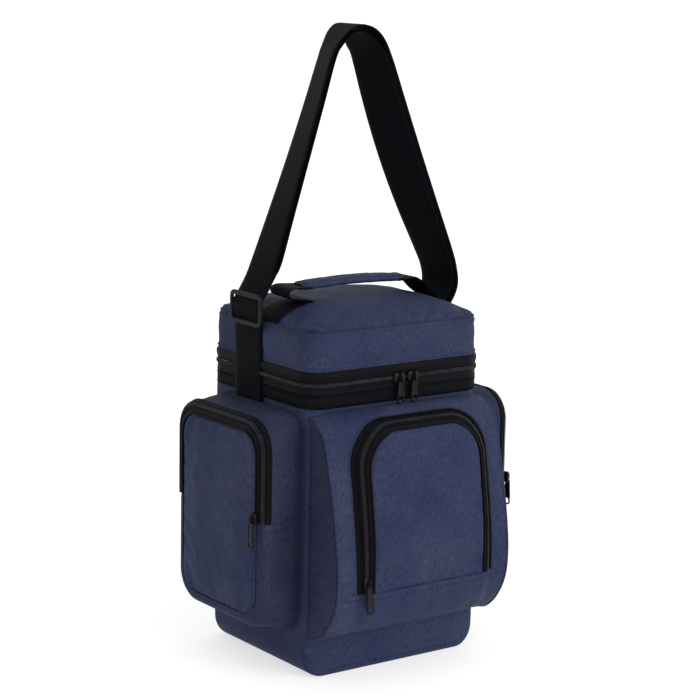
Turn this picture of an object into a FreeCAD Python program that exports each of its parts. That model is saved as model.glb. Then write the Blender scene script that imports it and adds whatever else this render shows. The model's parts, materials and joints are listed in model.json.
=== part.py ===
"""Insulated cooler bag with a zipped lid, three zipped pockets, a carry handle and a shoulder strap.

Millimetres, +Z up. The origin is the centre of the base, the front is -Y and the left side is -X.
"""

import FreeCAD, Part

import math
import os

import Sketcher

V = FreeCAD.Vector

doc = FreeCAD.newDocument("cooler_bag")

# ---------------------------------------------------------------- driving dimensions

DIMENSIONS = {
    # main body
    "body_width": 210.0,
    "body_depth": 175.0,
    "corner_radius": 20.0,
    "base_corner_radius": 22.0,
    "fabric": 2.0,
    "foam": 5.0,
    "liner": 1.0,
    "rim_height": 291.0,
    "zip_height": 294.0,
    # main zip and rim trim
    "band_low": 271.0,
    "band_height": 12.0,
    "band_thick": 1.5,
    "tape_thick": 1.0,
    "tape_height": 10.0,
    "chain_thick": 2.0,
    "chain_height": 3.2,
    "chain_gap": 0.4,
    "zip_back_end": 78.0,
    # lid
    "lid_low": 296.0,
    "lid_seam": 345.0,
    "lid_top": 363.0,
    "lid_round": 14.0,
    "lid_foam_low": 333.0,
    # front pocket
    "front_pocket_top": 268.0,
    "front_pocket_low": 46.0,
    "front_depth_shoulder": 23.0,
    "front_depth_top": 30.0,
    "front_depth_full": 53.0,
    "front_face_top": 250.0,
    "front_face_low": 98.0,
    # side pockets
    "side_pocket_width": 156.0,
    "side_pocket_low": 48.0,
    "side_pocket_top": 262.0,
    "side_pocket_depth": 48.0,
    "side_pocket_round": 28.0,
    "side_flap_low": 158.0,
    # pocket zips
    "flap_half_width": 80.0,
    "flap_height": 145.0,
    "flap_round": 40.0,
    "flap_proud": 5.0,
    "flap_rim": 9.0,
    "pocket_tape": 11.0,
    "pocket_chain": 3.4,
    "flap_gap": 0.4,
    "hinge_gap": 0.6,
    # handle and shoulder strap
    "grip_length": 122.0,
    "grip_width": 26.0,
    "grip_thick": 8.0,
    "grip_low": 373.0,
    "webbing": 2.0,
    "strap_width": 46.0,
    "strap_y": 14.0,
    "strap_apex": 634.0,
    "rail": 5.0,
    # hardware
    "slider_length": 12.0,
    "slider_width": 8.6,
    "pull_length": 27.0,
    "pocket_pull_length": 31.0,
    "pull_width": 9.2,
    "pull_thick": 2.0,
}

sheet = doc.addObject("Spreadsheet::Sheet", "dims")
for row, (alias, value) in enumerate(DIMENSIONS.items(), start=1):
    sheet.set(f"A{row}", alias)
    sheet.set(f"B{row}", str(value))
    sheet.setAlias(f"B{row}", alias)
doc.recompute()

nodes = []


def dim(expression):
    """The number that an expression in the sheet's aliases gives now."""
    return float(sheet.evalExpression(bound(expression)))


def bound(expression):
    """An expression in plain aliases, written the way the document binds it."""
    words = []
    word = ""
    for letter in str(expression) + " ":
        if letter.isalnum() or letter in "_.":
            word += letter
            continue
        words.append(f"dims.{word}" if word in DIMENSIONS else word)
        words.append(letter)
        word = ""
    return "".join(words).strip()


def node(thing, label):
    """Name an object as one of the bag's pieces."""
    thing.Label = label
    nodes.append(thing)
    return thing


def place(thing, at):
    """Bind an object's position to the sheet."""
    for axis, expression in zip("xyz", at):
        thing.setExpression(f".Placement.Base.{axis}", bound(expression))


# ---------------------------------------------------------------- building blocks


def box(name, low, size):
    """A block from its low corner and its size."""
    thing = doc.addObject("Part::Box", name)
    for side, expression in zip(("Length", "Width", "Height"), size):
        thing.setExpression(side, bound(expression))
    place(thing, low)
    return thing


def zone(name, low, high):
    """A block between two corners given as expressions."""
    return box(name, low, tuple(f"({b}) - ({a})" for a, b in zip(low, high)))


def boolean(kind, name, base, tool):
    """Part::Cut or Part::Common of two objects."""
    thing = doc.addObject(f"Part::{kind}", name)
    thing.Base = base
    thing.Tool = tool
    return thing


def fuse(name, pieces):
    """One shape from several objects."""
    thing = doc.addObject("Part::MultiFuse", name)
    thing.Shapes = pieces
    return thing


def body_sketch(name, plane):
    """A new body with an empty sketch on one of its origin planes."""
    body = doc.addObject("PartDesign::Body", name)
    sketch = body.newObject("Sketcher::SketchObject", f"{name}_sketch")
    support = [f for f in body.Origin.OriginFeatures if f.Role == plane][0]
    sketch.AttachmentSupport = [(support, "")]
    sketch.MapMode = "FlatFace"
    return body, sketch


def pad(body, sketch, length, both_ways=False):
    """Extrude a body's sketch."""
    feature = body.newObject("PartDesign::Pad", f"{body.Name}_pad")
    feature.Profile = sketch
    feature.Midplane = both_ways
    feature.setExpression("Length", bound(length))
    doc.recompute()
    return feature


def outline(sketch, corners):
    """A closed polygon, each corner bound to two expressions."""
    points = [V(dim(x), dim(y), 0) for x, y in corners]
    first = sketch.GeometryCount
    for start, end in zip(points, points[1:] + points[:1]):
        sketch.addGeometry(Part.LineSegment(start, end), False)
    count = len(points)
    for k in range(count):
        here, after = first + k, first + (k + 1) % count
        sketch.addConstraint(Sketcher.Constraint("Coincident", here, 2, after, 1))
    for k, (corner, point) in enumerate(zip(corners, points)):
        for kind, value, expression in (("DistanceX", point.x, corner[0]), ("DistanceY", point.y, corner[1])):
            item = sketch.addConstraint(Sketcher.Constraint(kind, -1, 1, first + k, 1, value))
            sketch.setExpression(f"Constraints[{item}]", bound(expression))


def rounded(sketch, half_x, half_y, radius, middle=("0", "0")):
    """A closed rounded rectangle about a middle point, bound to expressions."""
    w, d, r = dim(half_x), dim(half_y), dim(radius)
    mx, my = dim(middle[0]), dim(middle[1])
    first = sketch.GeometryCount
    corners = ((w, d, 0), (-w, d, 90), (-w, -d, 180), (w, -d, 270))
    for x, y, turn in corners:
        centre = V(mx + x - math.copysign(r, x), my + y - math.copysign(r, y), 0)
        circle = Part.Circle(centre, V(0, 0, 1), r)
        sketch.addGeometry(Part.ArcOfCircle(circle, math.radians(turn), math.radians(turn + 90)), False)
    for k in range(4):
        start = sketch.getPoint(first + k, 2)
        end = sketch.getPoint(first + (k + 1) % 4, 1)
        sketch.addGeometry(Part.LineSegment(start, end), False)
    for k in range(4):
        side = first + 4 + k
        sketch.addConstraint(Sketcher.Constraint("Tangent", first + k, 2, side, 1))
        sketch.addConstraint(Sketcher.Constraint("Tangent", side, 2, first + (k + 1) % 4, 1))
        sketch.addConstraint(Sketcher.Constraint("Vertical" if k % 2 else "Horizontal", side))
    for k in range(1, 4):
        sketch.addConstraint(Sketcher.Constraint("Equal", first, first + k))
    item = sketch.addConstraint(Sketcher.Constraint("Radius", first, r))
    sketch.setExpression(f"Constraints[{item}]", bound(radius))
    places = (
        ("DistanceX", first + 1, 3, mx - w + r, f"{middle[0]} - ({half_x}) + ({radius})"),
        ("DistanceX", first + 3, 3, mx + w - r, f"{middle[0]} + ({half_x}) - ({radius})"),
        ("DistanceY", first + 3, 3, my - d + r, f"{middle[1]} - ({half_y}) + ({radius})"),
        ("DistanceY", first + 1, 3, my + d - r, f"{middle[1]} + ({half_y}) - ({radius})"),
    )
    for kind, arc, spot, value, expression in places:
        item = sketch.addConstraint(Sketcher.Constraint(kind, -1, 1, arc, spot, value))
        sketch.setExpression(f"Constraints[{item}]", bound(expression))


def prism(name, plane, corners, length, both_ways=True):
    """A polygon outline padded from an origin plane."""
    body, sketch = body_sketch(name, plane)
    outline(sketch, corners)
    pad(body, sketch, length, both_ways)
    return body


def slab(name, plane, half_x, half_y, radius, length, middle=("0", "0"), hole=None):
    """A rounded rectangle, with an optional rounded hole, padded from an origin plane."""
    body, sketch = body_sketch(name, plane)
    rounded(sketch, half_x, half_y, radius, middle)
    if hole:
        rounded(sketch, *hole, middle)
    pad(body, sketch, length)
    return body


def round_edges(body, radius, chosen):
    """Fillet the edges of a body's last feature for which chosen(edge) is true."""
    base = body.Tip
    names = [f"Edge{n}" for n, edge in enumerate(base.Shape.Edges, start=1) if chosen(edge)]
    feature = body.newObject("PartDesign::Fillet", f"{body.Name}_round_{len(body.Group)}")
    feature.Base = (base, names)
    feature.setExpression("Radius", bound(radius))
    doc.recompute()
    return feature


def wall_ring(name, low, height, inner, thick):
    """A ring round the bag: inner is how far its inside stands out from the body's outer face."""
    ring = slab(
        name,
        "XY_Plane",
        f"body_width / 2 + {inner} + {thick}",
        f"body_depth / 2 + {inner} + {thick}",
        f"corner_radius + {inner} + {thick}",
        height,
        hole=(f"body_width / 2 + {inner}", f"body_depth / 2 + {inner}", f"corner_radius + {inner}"),
    )
    place(ring, ("0", "0", low))
    return ring


def front_of(name, ring):
    """A ring without its back run, where the hinge strip takes over from the zip."""
    back = box(f"{name}_back", ("-body_width", "zip_back_end", "0"),
               ("2 * body_width", "body_depth", "lid_top"))
    return boolean("Cut", name, ring, back)


def feature(label, shape):
    """A piece whose shape is set from Part's own functions."""
    thing = doc.addObject("Part::Feature", label)
    thing.Shape = shape
    return node(thing, label)


def rounded_path(points, radii):
    """Straight runs joined by tangent arcs, as one wire. Points are (x, z) pairs at y = 0."""
    spots = [V(x, 0, z) for x, z in points]
    edges = []
    start = spots[0]
    for before, here, after, radius in zip(spots, spots[1:], spots[2:], radii):
        back = (before - here).normalize()
        ahead = (after - here).normalize()
        half = back.getAngle(ahead) / 2
        reach = radius / math.tan(half)
        leave = here + back * reach
        join = here + ahead * reach
        middle = here + (back + ahead).normalize() * (radius / math.sin(half) - radius)
        edges.append(Part.LineSegment(start, leave).toShape())
        edges.append(Part.Arc(leave, middle, join).toShape())
        start = join
    edges.append(Part.LineSegment(start, spots[-1]).toShape())
    return Part.Wire(edges)


def ribbon(label, points, radii, thick, width):
    """Webbing along a path in the XZ plane: its thickness grows to one side, its width along Y."""
    path = rounded_path(points, radii)
    face = path.makeOffset2D(thick, join=0, fill=True, openResult=True)
    thing = feature(label, face.extrude(V(0, width, 0)))
    return thing


# ---------------------------------------------------------------- body shell, foam and liner


def tub(name, inset, low, top):
    """A solid with the bag's plan and rounded lower side corners, inset from its outer face."""
    plan = slab(
        f"{name}_plan",
        "XY_Plane",
        f"body_width / 2 - {inset}",
        f"body_depth / 2 - {inset}",
        f"corner_radius - {inset}",
        f"{top} - {low}",
    )
    place(plan, ("0", "0", low))
    front = slab(
        f"{name}_front",
        "XZ_Plane",
        f"body_width / 2 - {inset}",
        "rim_height",
        f"base_corner_radius - {inset}",
        "body_depth",
        middle=("0", f"rim_height + {low}"),
    )
    place(front, ("0", "body_depth / 2", "0"))
    return boolean("Common", name, plan, front)


shell = boolean(
    "Cut",
    "shell",
    tub("shell_outer", "0", "0", "rim_height"),
    tub("shell_inner", "fabric", "fabric", "lid_top"),
)
seam_y = "(body_depth / 2 - corner_radius / 4)"
zones = {
    "body_front_panel": (("-body_width", "-body_depth", "-1"), ("body_width", f"-{seam_y}", "lid_top")),
    "body_back_panel": (("-body_width", seam_y, "-1"), ("body_width", "body_depth", "lid_top")),
    "body_base_panel": (("-body_width", f"-{seam_y}", "-1"), ("body_width", seam_y, "fabric")),
    "body_left_panel": (("-body_width", f"-{seam_y}", "fabric"), ("0", seam_y, "lid_top")),
    "body_right_panel": (("0", f"-{seam_y}", "fabric"), ("body_width", seam_y, "lid_top")),
}
for label, (low, high) in zones.items():
    node(boolean("Common", label, shell, zone(f"{label}_zone", low, high)), label)

inside_x = "(body_width / 2 - fabric)"
inside_y = "(body_depth / 2 - fabric)"
foam_end = "(base_corner_radius)"
node(box("foam_base", (f"-{inside_x} + {foam_end}", f"-{inside_y} + foam", "fabric"),
         (f"2 * ({inside_x} - {foam_end})", f"2 * ({inside_y} - foam)", "foam")), "foam_base")
for label, side in (("foam_front", f"-{inside_y}"), ("foam_back", f"{inside_y} - foam")):
    board = box(label, (f"-{inside_x} + {foam_end}", side, "fabric"),
                (f"2 * ({inside_x} - {foam_end})", "foam", "rim_height - fabric"))
    node(board, label)
for label, side in (("foam_left", f"-{inside_x}"), ("foam_right", f"{inside_x} - foam")):
    board = box(label, (side, f"-{inside_y} + corner_radius", f"fabric + {foam_end}"),
                ("foam", f"2 * ({inside_y} - corner_radius)", f"rim_height - fabric - {foam_end}"))
    node(board, label)

liner_inset = "(fabric + foam)"
liner = boolean(
    "Cut",
    "liner_tub",
    tub("liner_outer", liner_inset, liner_inset, "rim_height"),
    tub("liner_inner", f"({liner_inset} + liner)", f"({liner_inset} + liner)", "lid_top"),
)
node(liner, "liner_tub")

# ---------------------------------------------------------------- rim band, main zip and hinge

node(wall_ring("rim_band", "band_low", "band_height", "0", "band_thick"), "rim_band")

tape_low = "(zip_height - 1 - tape_height)"
lower_tape = wall_ring("lower_tape_ring", tape_low, "tape_height", "0", "tape_thick")
band_space = zone("lower_tape_zone", ("-body_width", "-body_depth", "band_low + band_height"),
                  ("body_width", "zip_back_end", "lid_top"))
node(boolean("Common", "main_zip_tape_lower", lower_tape, band_space), "main_zip_tape_lower")

lower_chain = wall_ring("lower_chain_ring", "zip_height - chain_gap / 2 - chain_height", "chain_height",
                        "tape_thick", "chain_thick")
node(front_of("main_zip_chain_lower", lower_chain), "main_zip_chain_lower")

upper_tape = wall_ring("upper_tape_ring", "lid_low", "tape_height", "0", "tape_thick")
node(front_of("main_zip_tape_upper", upper_tape), "main_zip_tape_upper")
upper_chain = wall_ring("upper_chain_ring", "zip_height + chain_gap / 2", "chain_height",
                        "tape_thick", "chain_thick")
node(front_of("main_zip_chain_upper", upper_chain), "main_zip_chain_upper")

strip_x = "(body_width / 2 - corner_radius)"
node(box("hinge_strip", (f"-{strip_x}", "body_depth / 2", "band_low + band_height + 1"),
         (f"2 * {strip_x}", "0.8", "26")), "hinge_strip")

# ---------------------------------------------------------------- lid

band = wall_ring("lid_side_band", "lid_low", "lid_seam - lid_low", "-fabric", "fabric")
node(band, "lid_side_band")


def pillow(name, inset, low):
    """The lid's crowned top, inset from its outer face."""
    body = slab(name, "XY_Plane", f"body_width / 2 - {inset}", f"body_depth / 2 - {inset}",
                f"corner_radius - {inset}", f"lid_top - {inset} - ({low})")
    top = body.Shape.BoundBox.ZMax
    round_edges(body, f"lid_round - {inset}", lambda edge: edge.BoundBox.ZMin > top - 0.01)
    place(body, ("0", "0", low))
    return body


node(boolean("Cut", "lid_top_panel", pillow("lid_pillow", "0", "lid_seam"),
             pillow("lid_pillow_inside", "fabric", "lid_seam - 1")), "lid_top_panel")
node(pillow("lid_foam", "(fabric + 0.2)", "lid_foam_low + liner"), "lid_foam")
lid_liner = boolean(
    "Cut",
    "lid_liner",
    slab("lid_liner_outer", "XY_Plane", "body_width / 2 - fabric", "body_depth / 2 - fabric",
         "corner_radius - fabric", "lid_foam_low + liner - lid_low"),
    slab("lid_liner_inner", "XY_Plane", "body_width / 2 - fabric - liner", "body_depth / 2 - fabric - liner",
         "corner_radius - fabric - liner", "lid_foam_low - lid_low"),
)
place(lid_liner, ("0", "0", "lid_low"))
node(lid_liner, "lid_liner")

# ---------------------------------------------------------------- front pocket

wall_y = "(-body_depth / 2)"


def wedge(name, inset, half_width, back):
    """The front pocket's outer form, inset on every side but its back."""
    corners = (
        (back, f"front_pocket_top - {inset}"),
        (f"{wall_y} - front_depth_shoulder + 0.6 * {inset}", f"front_pocket_top - 6 - {inset}"),
        (f"{wall_y} - front_depth_top + {inset}", f"front_face_top - 0.4 * {inset}"),
        (f"{wall_y} - front_depth_full + {inset}", "front_face_low"),
        (f"{wall_y} - front_depth_full + {inset}", "front_face_low - 14"),
        (f"{wall_y} - 0.66 * front_depth_full + 0.4 * {inset}", f"front_pocket_low + 8 + {inset}"),
        (back, f"front_pocket_low + {inset}"),
    )
    return prism(name, "YZ_Plane", corners, f"2 * ({half_width})")


pocket_shell = boolean(
    "Cut",
    "front_pocket_shell",
    wedge("front_pocket_outer", "0", "body_width / 2", wall_y),
    wedge("front_pocket_inner", "fabric", "body_width / 2 - fabric", f"{wall_y} + 5"),
)
side_x = "(body_width / 2 - fabric)"
both_sides = boolean(
    "Cut",
    "front_pocket_side_zones",
    zone("front_pocket_wide_zone", ("-body_width", "-body_depth", "0"), ("body_width", "0", "lid_low")),
    zone("front_pocket_middle_zone", (f"-{side_x}", "-2 * body_depth", "-1"), (side_x, "1", "lid_top")),
)
node(boolean("Common", "front_pocket_gussets", pocket_shell, both_sides), "front_pocket_gussets")
middle_zones = {
    "front_pocket_roof": ("front_face_top", "lid_low"),
    "front_pocket_face": ("front_face_low", "front_face_top"),
    "front_pocket_base": ("0", "front_face_low"),
}
front_parts = {}
for label, (low, high) in middle_zones.items():
    space = zone(f"{label}_zone", (f"-{side_x}", "-body_depth", low), (side_x, "0", high))
    front_parts[label] = boolean("Common", f"{label}_piece", pocket_shell, space)

face_lean = dim("front_depth_full - front_depth_top")
face_tilt = math.degrees(math.atan2(face_lean, dim("front_face_top - front_face_low")))
face_turn = FreeCAD.Rotation(V(1, 0, 0), -face_tilt)
face_foot = V(0, dim(f"{wall_y} - front_depth_full"), dim("front_face_low"))
face_place = FreeCAD.Placement(face_foot, face_turn)


def arch(name, half_x, top, radius, depth_from, depth_to, hole=None):
    """An upright arch in the face's own frame: +Y into the pocket, its feet at z = 0."""
    body = slab(name, "XZ_Plane", half_x, top, radius, f"({depth_to}) - ({depth_from})", hole=hole)
    place(body, ("0", depth_to, "0"))
    return body


def above(name, thing, low):
    """The part of an upright piece that is above its own z = low."""
    space = zone(f"{name}_space", ("-body_width", "-body_depth", low),
                 ("body_width", "body_depth", "lid_top"))
    return boolean("Common", name, thing, space)


hole_tool = arch("front_hole_full", "flap_half_width", "flap_height", "flap_round", "-20", "20")
front_hole = above("front_hole", hole_tool, "-1")
front_hole.Placement = face_place
node(front_parts["front_pocket_roof"], "front_pocket_roof")
node(boolean("Cut", "front_pocket_face", front_parts["front_pocket_face"], front_hole), "front_pocket_face")
node(front_parts["front_pocket_base"], "front_pocket_base")


def zip_arch(prefix, half_x, top, radius, placement, foot):
    """A pocket zip's tape and chain: two arches, one on the other, on the pocket's own side."""
    opening = (f"{half_x} - pocket_tape", f"{top} - pocket_tape", f"{radius} - pocket_tape")
    tape = arch(f"{prefix}_tape_ring", f"{half_x} + 2", f"{top} + 2", f"{radius} + 2", "-tape_thick", "0",
                hole=opening)
    tape_piece = above(f"{prefix}_zip_tape", tape, foot)
    chain_edge = [f"{size} + pocket_chain" for size in opening]
    chain = arch(f"{prefix}_chain_ring", *chain_edge, "-tape_thick - chain_thick", "-tape_thick",
                 hole=opening)
    chain_piece = above(f"{prefix}_zip_chain", chain, foot)
    for piece in (tape_piece, chain_piece):
        piece.Placement = placement
        node(piece, piece.Name)


def flap(label, half_x, top, radius, placement):
    """A pocket's moving flap: a plate in the zip's arch with a padded field standing proud of it."""
    plate_size = [f"{size} - pocket_tape - flap_gap" for size in (half_x, top, radius)]
    field_size = [f"{size} - flap_rim" for size in plate_size]
    plate = arch(f"{label}_plate", *plate_size, "0", "fabric")
    field = arch(f"{label}_field", *field_size, "-flap_proud", "0")
    plate_piece = above(f"{label}_plate_piece", plate, "1")
    field_piece = above(f"{label}_field_piece", field, "8")
    piece = fuse(label, [plate_piece, field_piece])
    piece.Placement = placement
    node(piece, label)


front_arch = ("flap_half_width", "flap_height", "flap_round", face_place)
zip_arch("front", *front_arch, "1")
flap("front_flap", *front_arch)

# ---------------------------------------------------------------- side pockets

side_half = "(side_pocket_width / 2)"
side_mid = "((side_pocket_top + side_pocket_low) / 2)"
side_tall = "((side_pocket_top - side_pocket_low) / 2)"


def side_pocket(side, sign):
    """One side pocket, built as seen from its outside with +Y into the pocket, then turned into place."""
    outer_x = dim("body_width / 2 + side_pocket_depth")
    placement = FreeCAD.Placement(V(sign * outer_x, 0, 0), FreeCAD.Rotation(V(0, 0, 1), sign * 90))
    gusset = slab(f"{side}_gusset_ring", "XZ_Plane", side_half, side_tall, "side_pocket_round",
                  "side_pocket_depth", middle=("0", side_mid),
                  hole=(f"{side_half} - fabric", f"{side_tall} - fabric", "side_pocket_round - fabric"))
    place(gusset, ("0", "side_pocket_depth", "0"))
    panel = slab(f"{side}_panel_full", "XZ_Plane", side_half, side_tall, "side_pocket_round",
                 "fabric", middle=("0", side_mid))
    lower = zone(f"{side}_panel_zone", ("-body_width", "-body_depth", "0"),
                 ("body_width", "0", "side_flap_low"))
    panel_piece = boolean("Common", f"{side}_panel_piece", panel, lower)
    for thing, label in ((gusset, f"{side}_pocket_gusset"), (panel_piece, f"{side}_pocket_panel")):
        held = doc.addObject("Part::Compound", label)
        held.Links = [thing]
        held.Placement = placement
        node(held, label)
    foot = FreeCAD.Placement(placement.multVec(V(0, 0, dim("side_flap_low"))), placement.Rotation)
    side_arch = (f"{side_half} - fabric", "side_pocket_top - side_flap_low - fabric",
                 "side_pocket_round - fabric", foot)
    zip_arch(side, *side_arch, "1")
    flap(f"{side}_flap", *side_arch)


for side, sign in (("left", -1), ("right", 1)):
    side_pocket(side, sign)

# ---------------------------------------------------------------- zip sliders and pulls

PIVOT_OUT = 4.1  # the pull's pin stands this far in front of the slider's back


def pin_along_x(name, radius, length):
    """A round pin along X on the pull's pivot."""
    pin = doc.addObject("Part::Cylinder", name)
    pin.Radius = radius
    pin.Height = length
    pin.Placement = FreeCAD.Placement(V(-length / 2, -PIVOT_OUT, 0), FreeCAD.Rotation(V(0, 1, 0), 90))
    return pin


def slider_and_pull(prefix, placement, upright):
    """A slider in front of the chain with its pull: +Y into the bag, z = 0 at the pull's pin.

    The slider lies along Z on an upright zip and along X on the lid's zip.
    """
    wide, tall = ("slider_width", "slider_length") if upright else ("slider_length", "slider_width")
    length = "pocket_pull_length" if upright else "pull_length"
    plate = slab(f"{prefix}_slider_plate", "XZ_Plane", f"{wide} / 2", f"{tall} / 2", "3", "1.8")
    ears = [
        box(f"{prefix}_slider_ear_{name}", (low, f"-{PIVOT_OUT} - 1.5", "-1.6"),
            ("1", f"{PIVOT_OUT} - 0.3", "3.2"))
        for name, low in (("left", "-2.7"), ("right", "1.7"))
    ]
    slider = fuse(f"{prefix}_slider", [plate, *ears, pin_along_x(f"{prefix}_slider_pin", 0.7, 5.0)])
    slider.Placement = placement
    node(slider, f"{prefix}_slider")
    tab = slab(f"{prefix}_pull_tab", "XZ_Plane", "pull_width / 2", f"{length} / 2 - 2.4", "2.6", "pull_thick",
               middle=("0", f"-0.6 - {length} / 2"))
    neck = slab(f"{prefix}_pull_neck", "XZ_Plane", "1.4", "3.6", "1.2", "pull_thick", middle=("0", "-1.9"))
    for piece in (tab, neck):
        place(piece, ("0", f"-{PIVOT_OUT} + pull_thick / 2", "0"))
    eye = doc.addObject("Part::Cylinder", f"{prefix}_pull_eye")
    eye.Radius = 2.2
    eye.Height = 10
    eye.Placement = FreeCAD.Placement(V(0, 2, 2.4 - dim(length)), FreeCAD.Rotation(V(1, 0, 0), 90))
    drills = fuse(f"{prefix}_pull_drills", [eye, pin_along_x(f"{prefix}_pull_bore", 0.85, 4.0)])
    pull = boolean("Cut", f"{prefix}_pull", fuse(f"{prefix}_pull_blank", [tab, neck]), drills)
    pull.Placement = placement
    node(pull, f"{prefix}_pull")


chain_front = dim("tape_thick + chain_thick") + 0.3
main_y = -dim("body_depth / 2") - chain_front
for name, x in (("main_left", -2.0), ("main_right", 15.0)):
    slider_and_pull(name, FreeCAD.Placement(V(x, main_y, dim("zip_height")), FreeCAD.Rotation()), False)

# the slider covers the pocket's side of the chain and stays clear of the flap
side_shift = dim("flap_gap") + dim("pull_width / 2")
front_slider_x = -(dim("flap_half_width - pocket_tape") + side_shift)
front_spot = face_place.multiply(FreeCAD.Placement(V(front_slider_x, -chain_front, 10), FreeCAD.Rotation()))
slider_and_pull("front", front_spot, True)
for side, sign in (("left", -1), ("right", 1)):
    along = -dim(f"{side_half} - fabric - pocket_tape") - side_shift
    outer_x = dim("body_width / 2 + side_pocket_depth") + chain_front
    spot = V(sign * outer_x, along, dim("side_flap_low") + 10)
    slider_and_pull(side, FreeCAD.Placement(spot, FreeCAD.Rotation(V(0, 0, 1), sign * 90)), True)

# ---------------------------------------------------------------- carry handle

handle_y = -8.0
grip_x = -4.0  # the grip's middle
grip = slab("handle_grip", "YZ_Plane", "grip_width / 2", "grip_thick / 2", "3.5", "grip_length")
place(grip, (f"{grip_x} - grip_length / 2", str(handle_y), "grip_low + grip_thick / 2"))
node(grip, "handle_grip")

web = dim("webbing")
strap_width = dim("strap_width")
grip_end = dim("grip_length / 2")
lid_top = dim("lid_top")
leg_width = 40.0
leg_drop = 16.0  # how far past the grip's end a leg reaches the lid
for label, sign in (("handle_webbing_left", -1), ("handle_webbing_right", 1)):
    start = sign * grip_end + grip_x
    path = [
        (start, dim("grip_low") + 3.0),
        (start + sign * 9.0, dim("grip_low") + 1.0),
        (start + sign * leg_drop, lid_top + 3.0),
        (sign * (dim("body_width / 2") - 18.0), lid_top + 0.5),
    ]
    leg = ribbon(label, path, (8.0, 6.0), sign * web, leg_width)
    leg.Placement = FreeCAD.Placement(V(0, handle_y - leg_width / 2, 0), FreeCAD.Rotation())

# ---------------------------------------------------------------- shoulder strap

strap_low = dim("rim_height") - 9.7
strap_back = dim("strap_y") - strap_width / 2
patch_face = dim("body_width / 2 + band_thick")
for label, sign in (("strap_patch_left", -1), ("strap_patch_right", 1)):
    low_x = patch_face if sign > 0 else -patch_face - web
    patch = box(label, (str(low_x), str(strap_back), "side_pocket_top + 1.5"),
                ("webbing", "strap_width", f"{strap_low} - 0.3 - side_pocket_top - 1.5"))
    node(patch, label)

apex = dim("strap_apex")
ring_x = 112.6
ring_z = 322.0
ring_bar = 4.0
lower_x = -109.6
glide_z = 356.0
hump = 1.6  # how far the strap steps out over the tri-glide's bar
over_bar = 4.5
apex_x = 1.0
fold_z = ring_z + 4.6
fold = 2.5  # half the fold round the ring's top bar
outer_path = [
    (lower_x, strap_low),
    (lower_x, glide_z - 12.0),
    (lower_x - hump, glide_z - over_bar),
    (lower_x - hump, glide_z + over_bar),
    (lower_x, glide_z + 12.0),
    (lower_x, glide_z + 20.0),
    (apex_x - 26.0, apex - 22.0),
    (apex_x, apex + 6.0),
    (apex_x + 26.0, apex - 22.0),
    (125.0, 366.0),
    (ring_x + fold + 0.1, 342.0),
    (ring_x + fold + 0.1, fold_z),
    (ring_x - fold, fold_z),
    (ring_x - fold, fold_z + 8.0),
]
outer_radii = (12.0, 8.0, 8.0, 12.0, 24.0, 18.0, 14.0, 18.0, 24.0, 16.0, 2.4, 2.4)
outer_strap = ribbon("strap_webbing", outer_path, outer_radii, web, strap_width)
inner_path = [
    (ring_x - fold, fold_z + 8.3),
    (ring_x - fold, 344.0),
    (120.6, 368.0),
    (apex_x + 23.2, apex - 23.6),
    (apex_x, apex + 1.6),
    (apex_x - 23.2, apex - 23.6),
    (-102.9, 384.0),
]
inner_radii = (12.0, 20.0, 15.0, 11.0, 15.0)
inner_strap = ribbon("strap_return_webbing", inner_path, inner_radii, web, strap_width)
for strap in (outer_strap, inner_strap):
    strap.Placement = FreeCAD.Placement(V(0, strap_back, 0), FreeCAD.Rotation())

ring = slab("strap_ring", "YZ_Plane", "strap_width / 2 + rail", "10", "4", str(ring_bar),
            hole=("strap_width / 2 + 1", "6", "2"))
place(ring, (str(ring_x - ring_bar / 2), "strap_y", str(ring_z)))
node(ring, "strap_ring")
loop_in = ring_bar / 2 + 0.4
loop_top = ring_z - 5.7
loop = prism(
    "strap_ring_loop",
    "XZ_Plane",
    (
        (str(ring_x - loop_in - web), str(strap_low)),
        (str(ring_x - loop_in), str(strap_low)),
        (str(ring_x - loop_in), str(loop_top)),
        (str(ring_x + loop_in), str(loop_top)),
        (str(ring_x + loop_in), "290"),
        (str(ring_x + loop_in + web), "290"),
        (str(ring_x + loop_in + web), str(loop_top + web)),
        (str(ring_x - loop_in - web), str(loop_top + web)),
    ),
    "strap_width",
)
place(loop, ("0", "strap_y", "0"))
node(loop, "strap_ring_loop")

rail_face = lower_x - web - 0.3
frame = slab("triglide_frame", "YZ_Plane", "strap_width / 2 + rail", "16", "4", "2.6",
             hole=("strap_width / 2 + 1", "12", "2"))
place(frame, (str(rail_face - 2.6), "strap_y", str(glide_z)))
bar_face = lower_x - hump + 0.4
bar = box("triglide_bar", (str(bar_face), "strap_y - strap_width / 2 - rail", str(glide_z - 2.5)),
          ("1.5", "strap_width + 2 * rail", "5"))
cheeks = [
    box(f"triglide_cheek_{name}", (str(rail_face), low, str(glide_z - 4)),
        (str(bar_face + 1.5 - rail_face), "3.7", "8"))
    for name, low in (("front", "strap_y - strap_width / 2 - rail"),
                      ("back", "strap_y + strap_width / 2 + 1.3"))
]
node(fuse("triglide", [frame, bar, *cheeks]), "triglide")

# ---------------------------------------------------------------- checks and export

doc.recompute()
for thing in doc.Objects:
    if {"Invalid", "Error"} & set(thing.State):
        raise RuntimeError(f"{thing.Label} did not compute: {thing.State}")
for thing in nodes:
    if thing.Shape.isNull() or not thing.Shape.isValid():
        raise RuntimeError(f"{thing.Label} has no valid shape")
    if not thing.Shape.Solids:
        raise RuntimeError(f"{thing.Label} has no solid")

os.makedirs("parts", exist_ok=True)
for thing in nodes:
    thing.Shape.exportStep(f"parts/{thing.Label}.step")
print(f"{len(nodes)} nodes written")
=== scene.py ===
import json
import math

import bpy
import numpy as np
from mathutils import Matrix, Vector, noise

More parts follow.
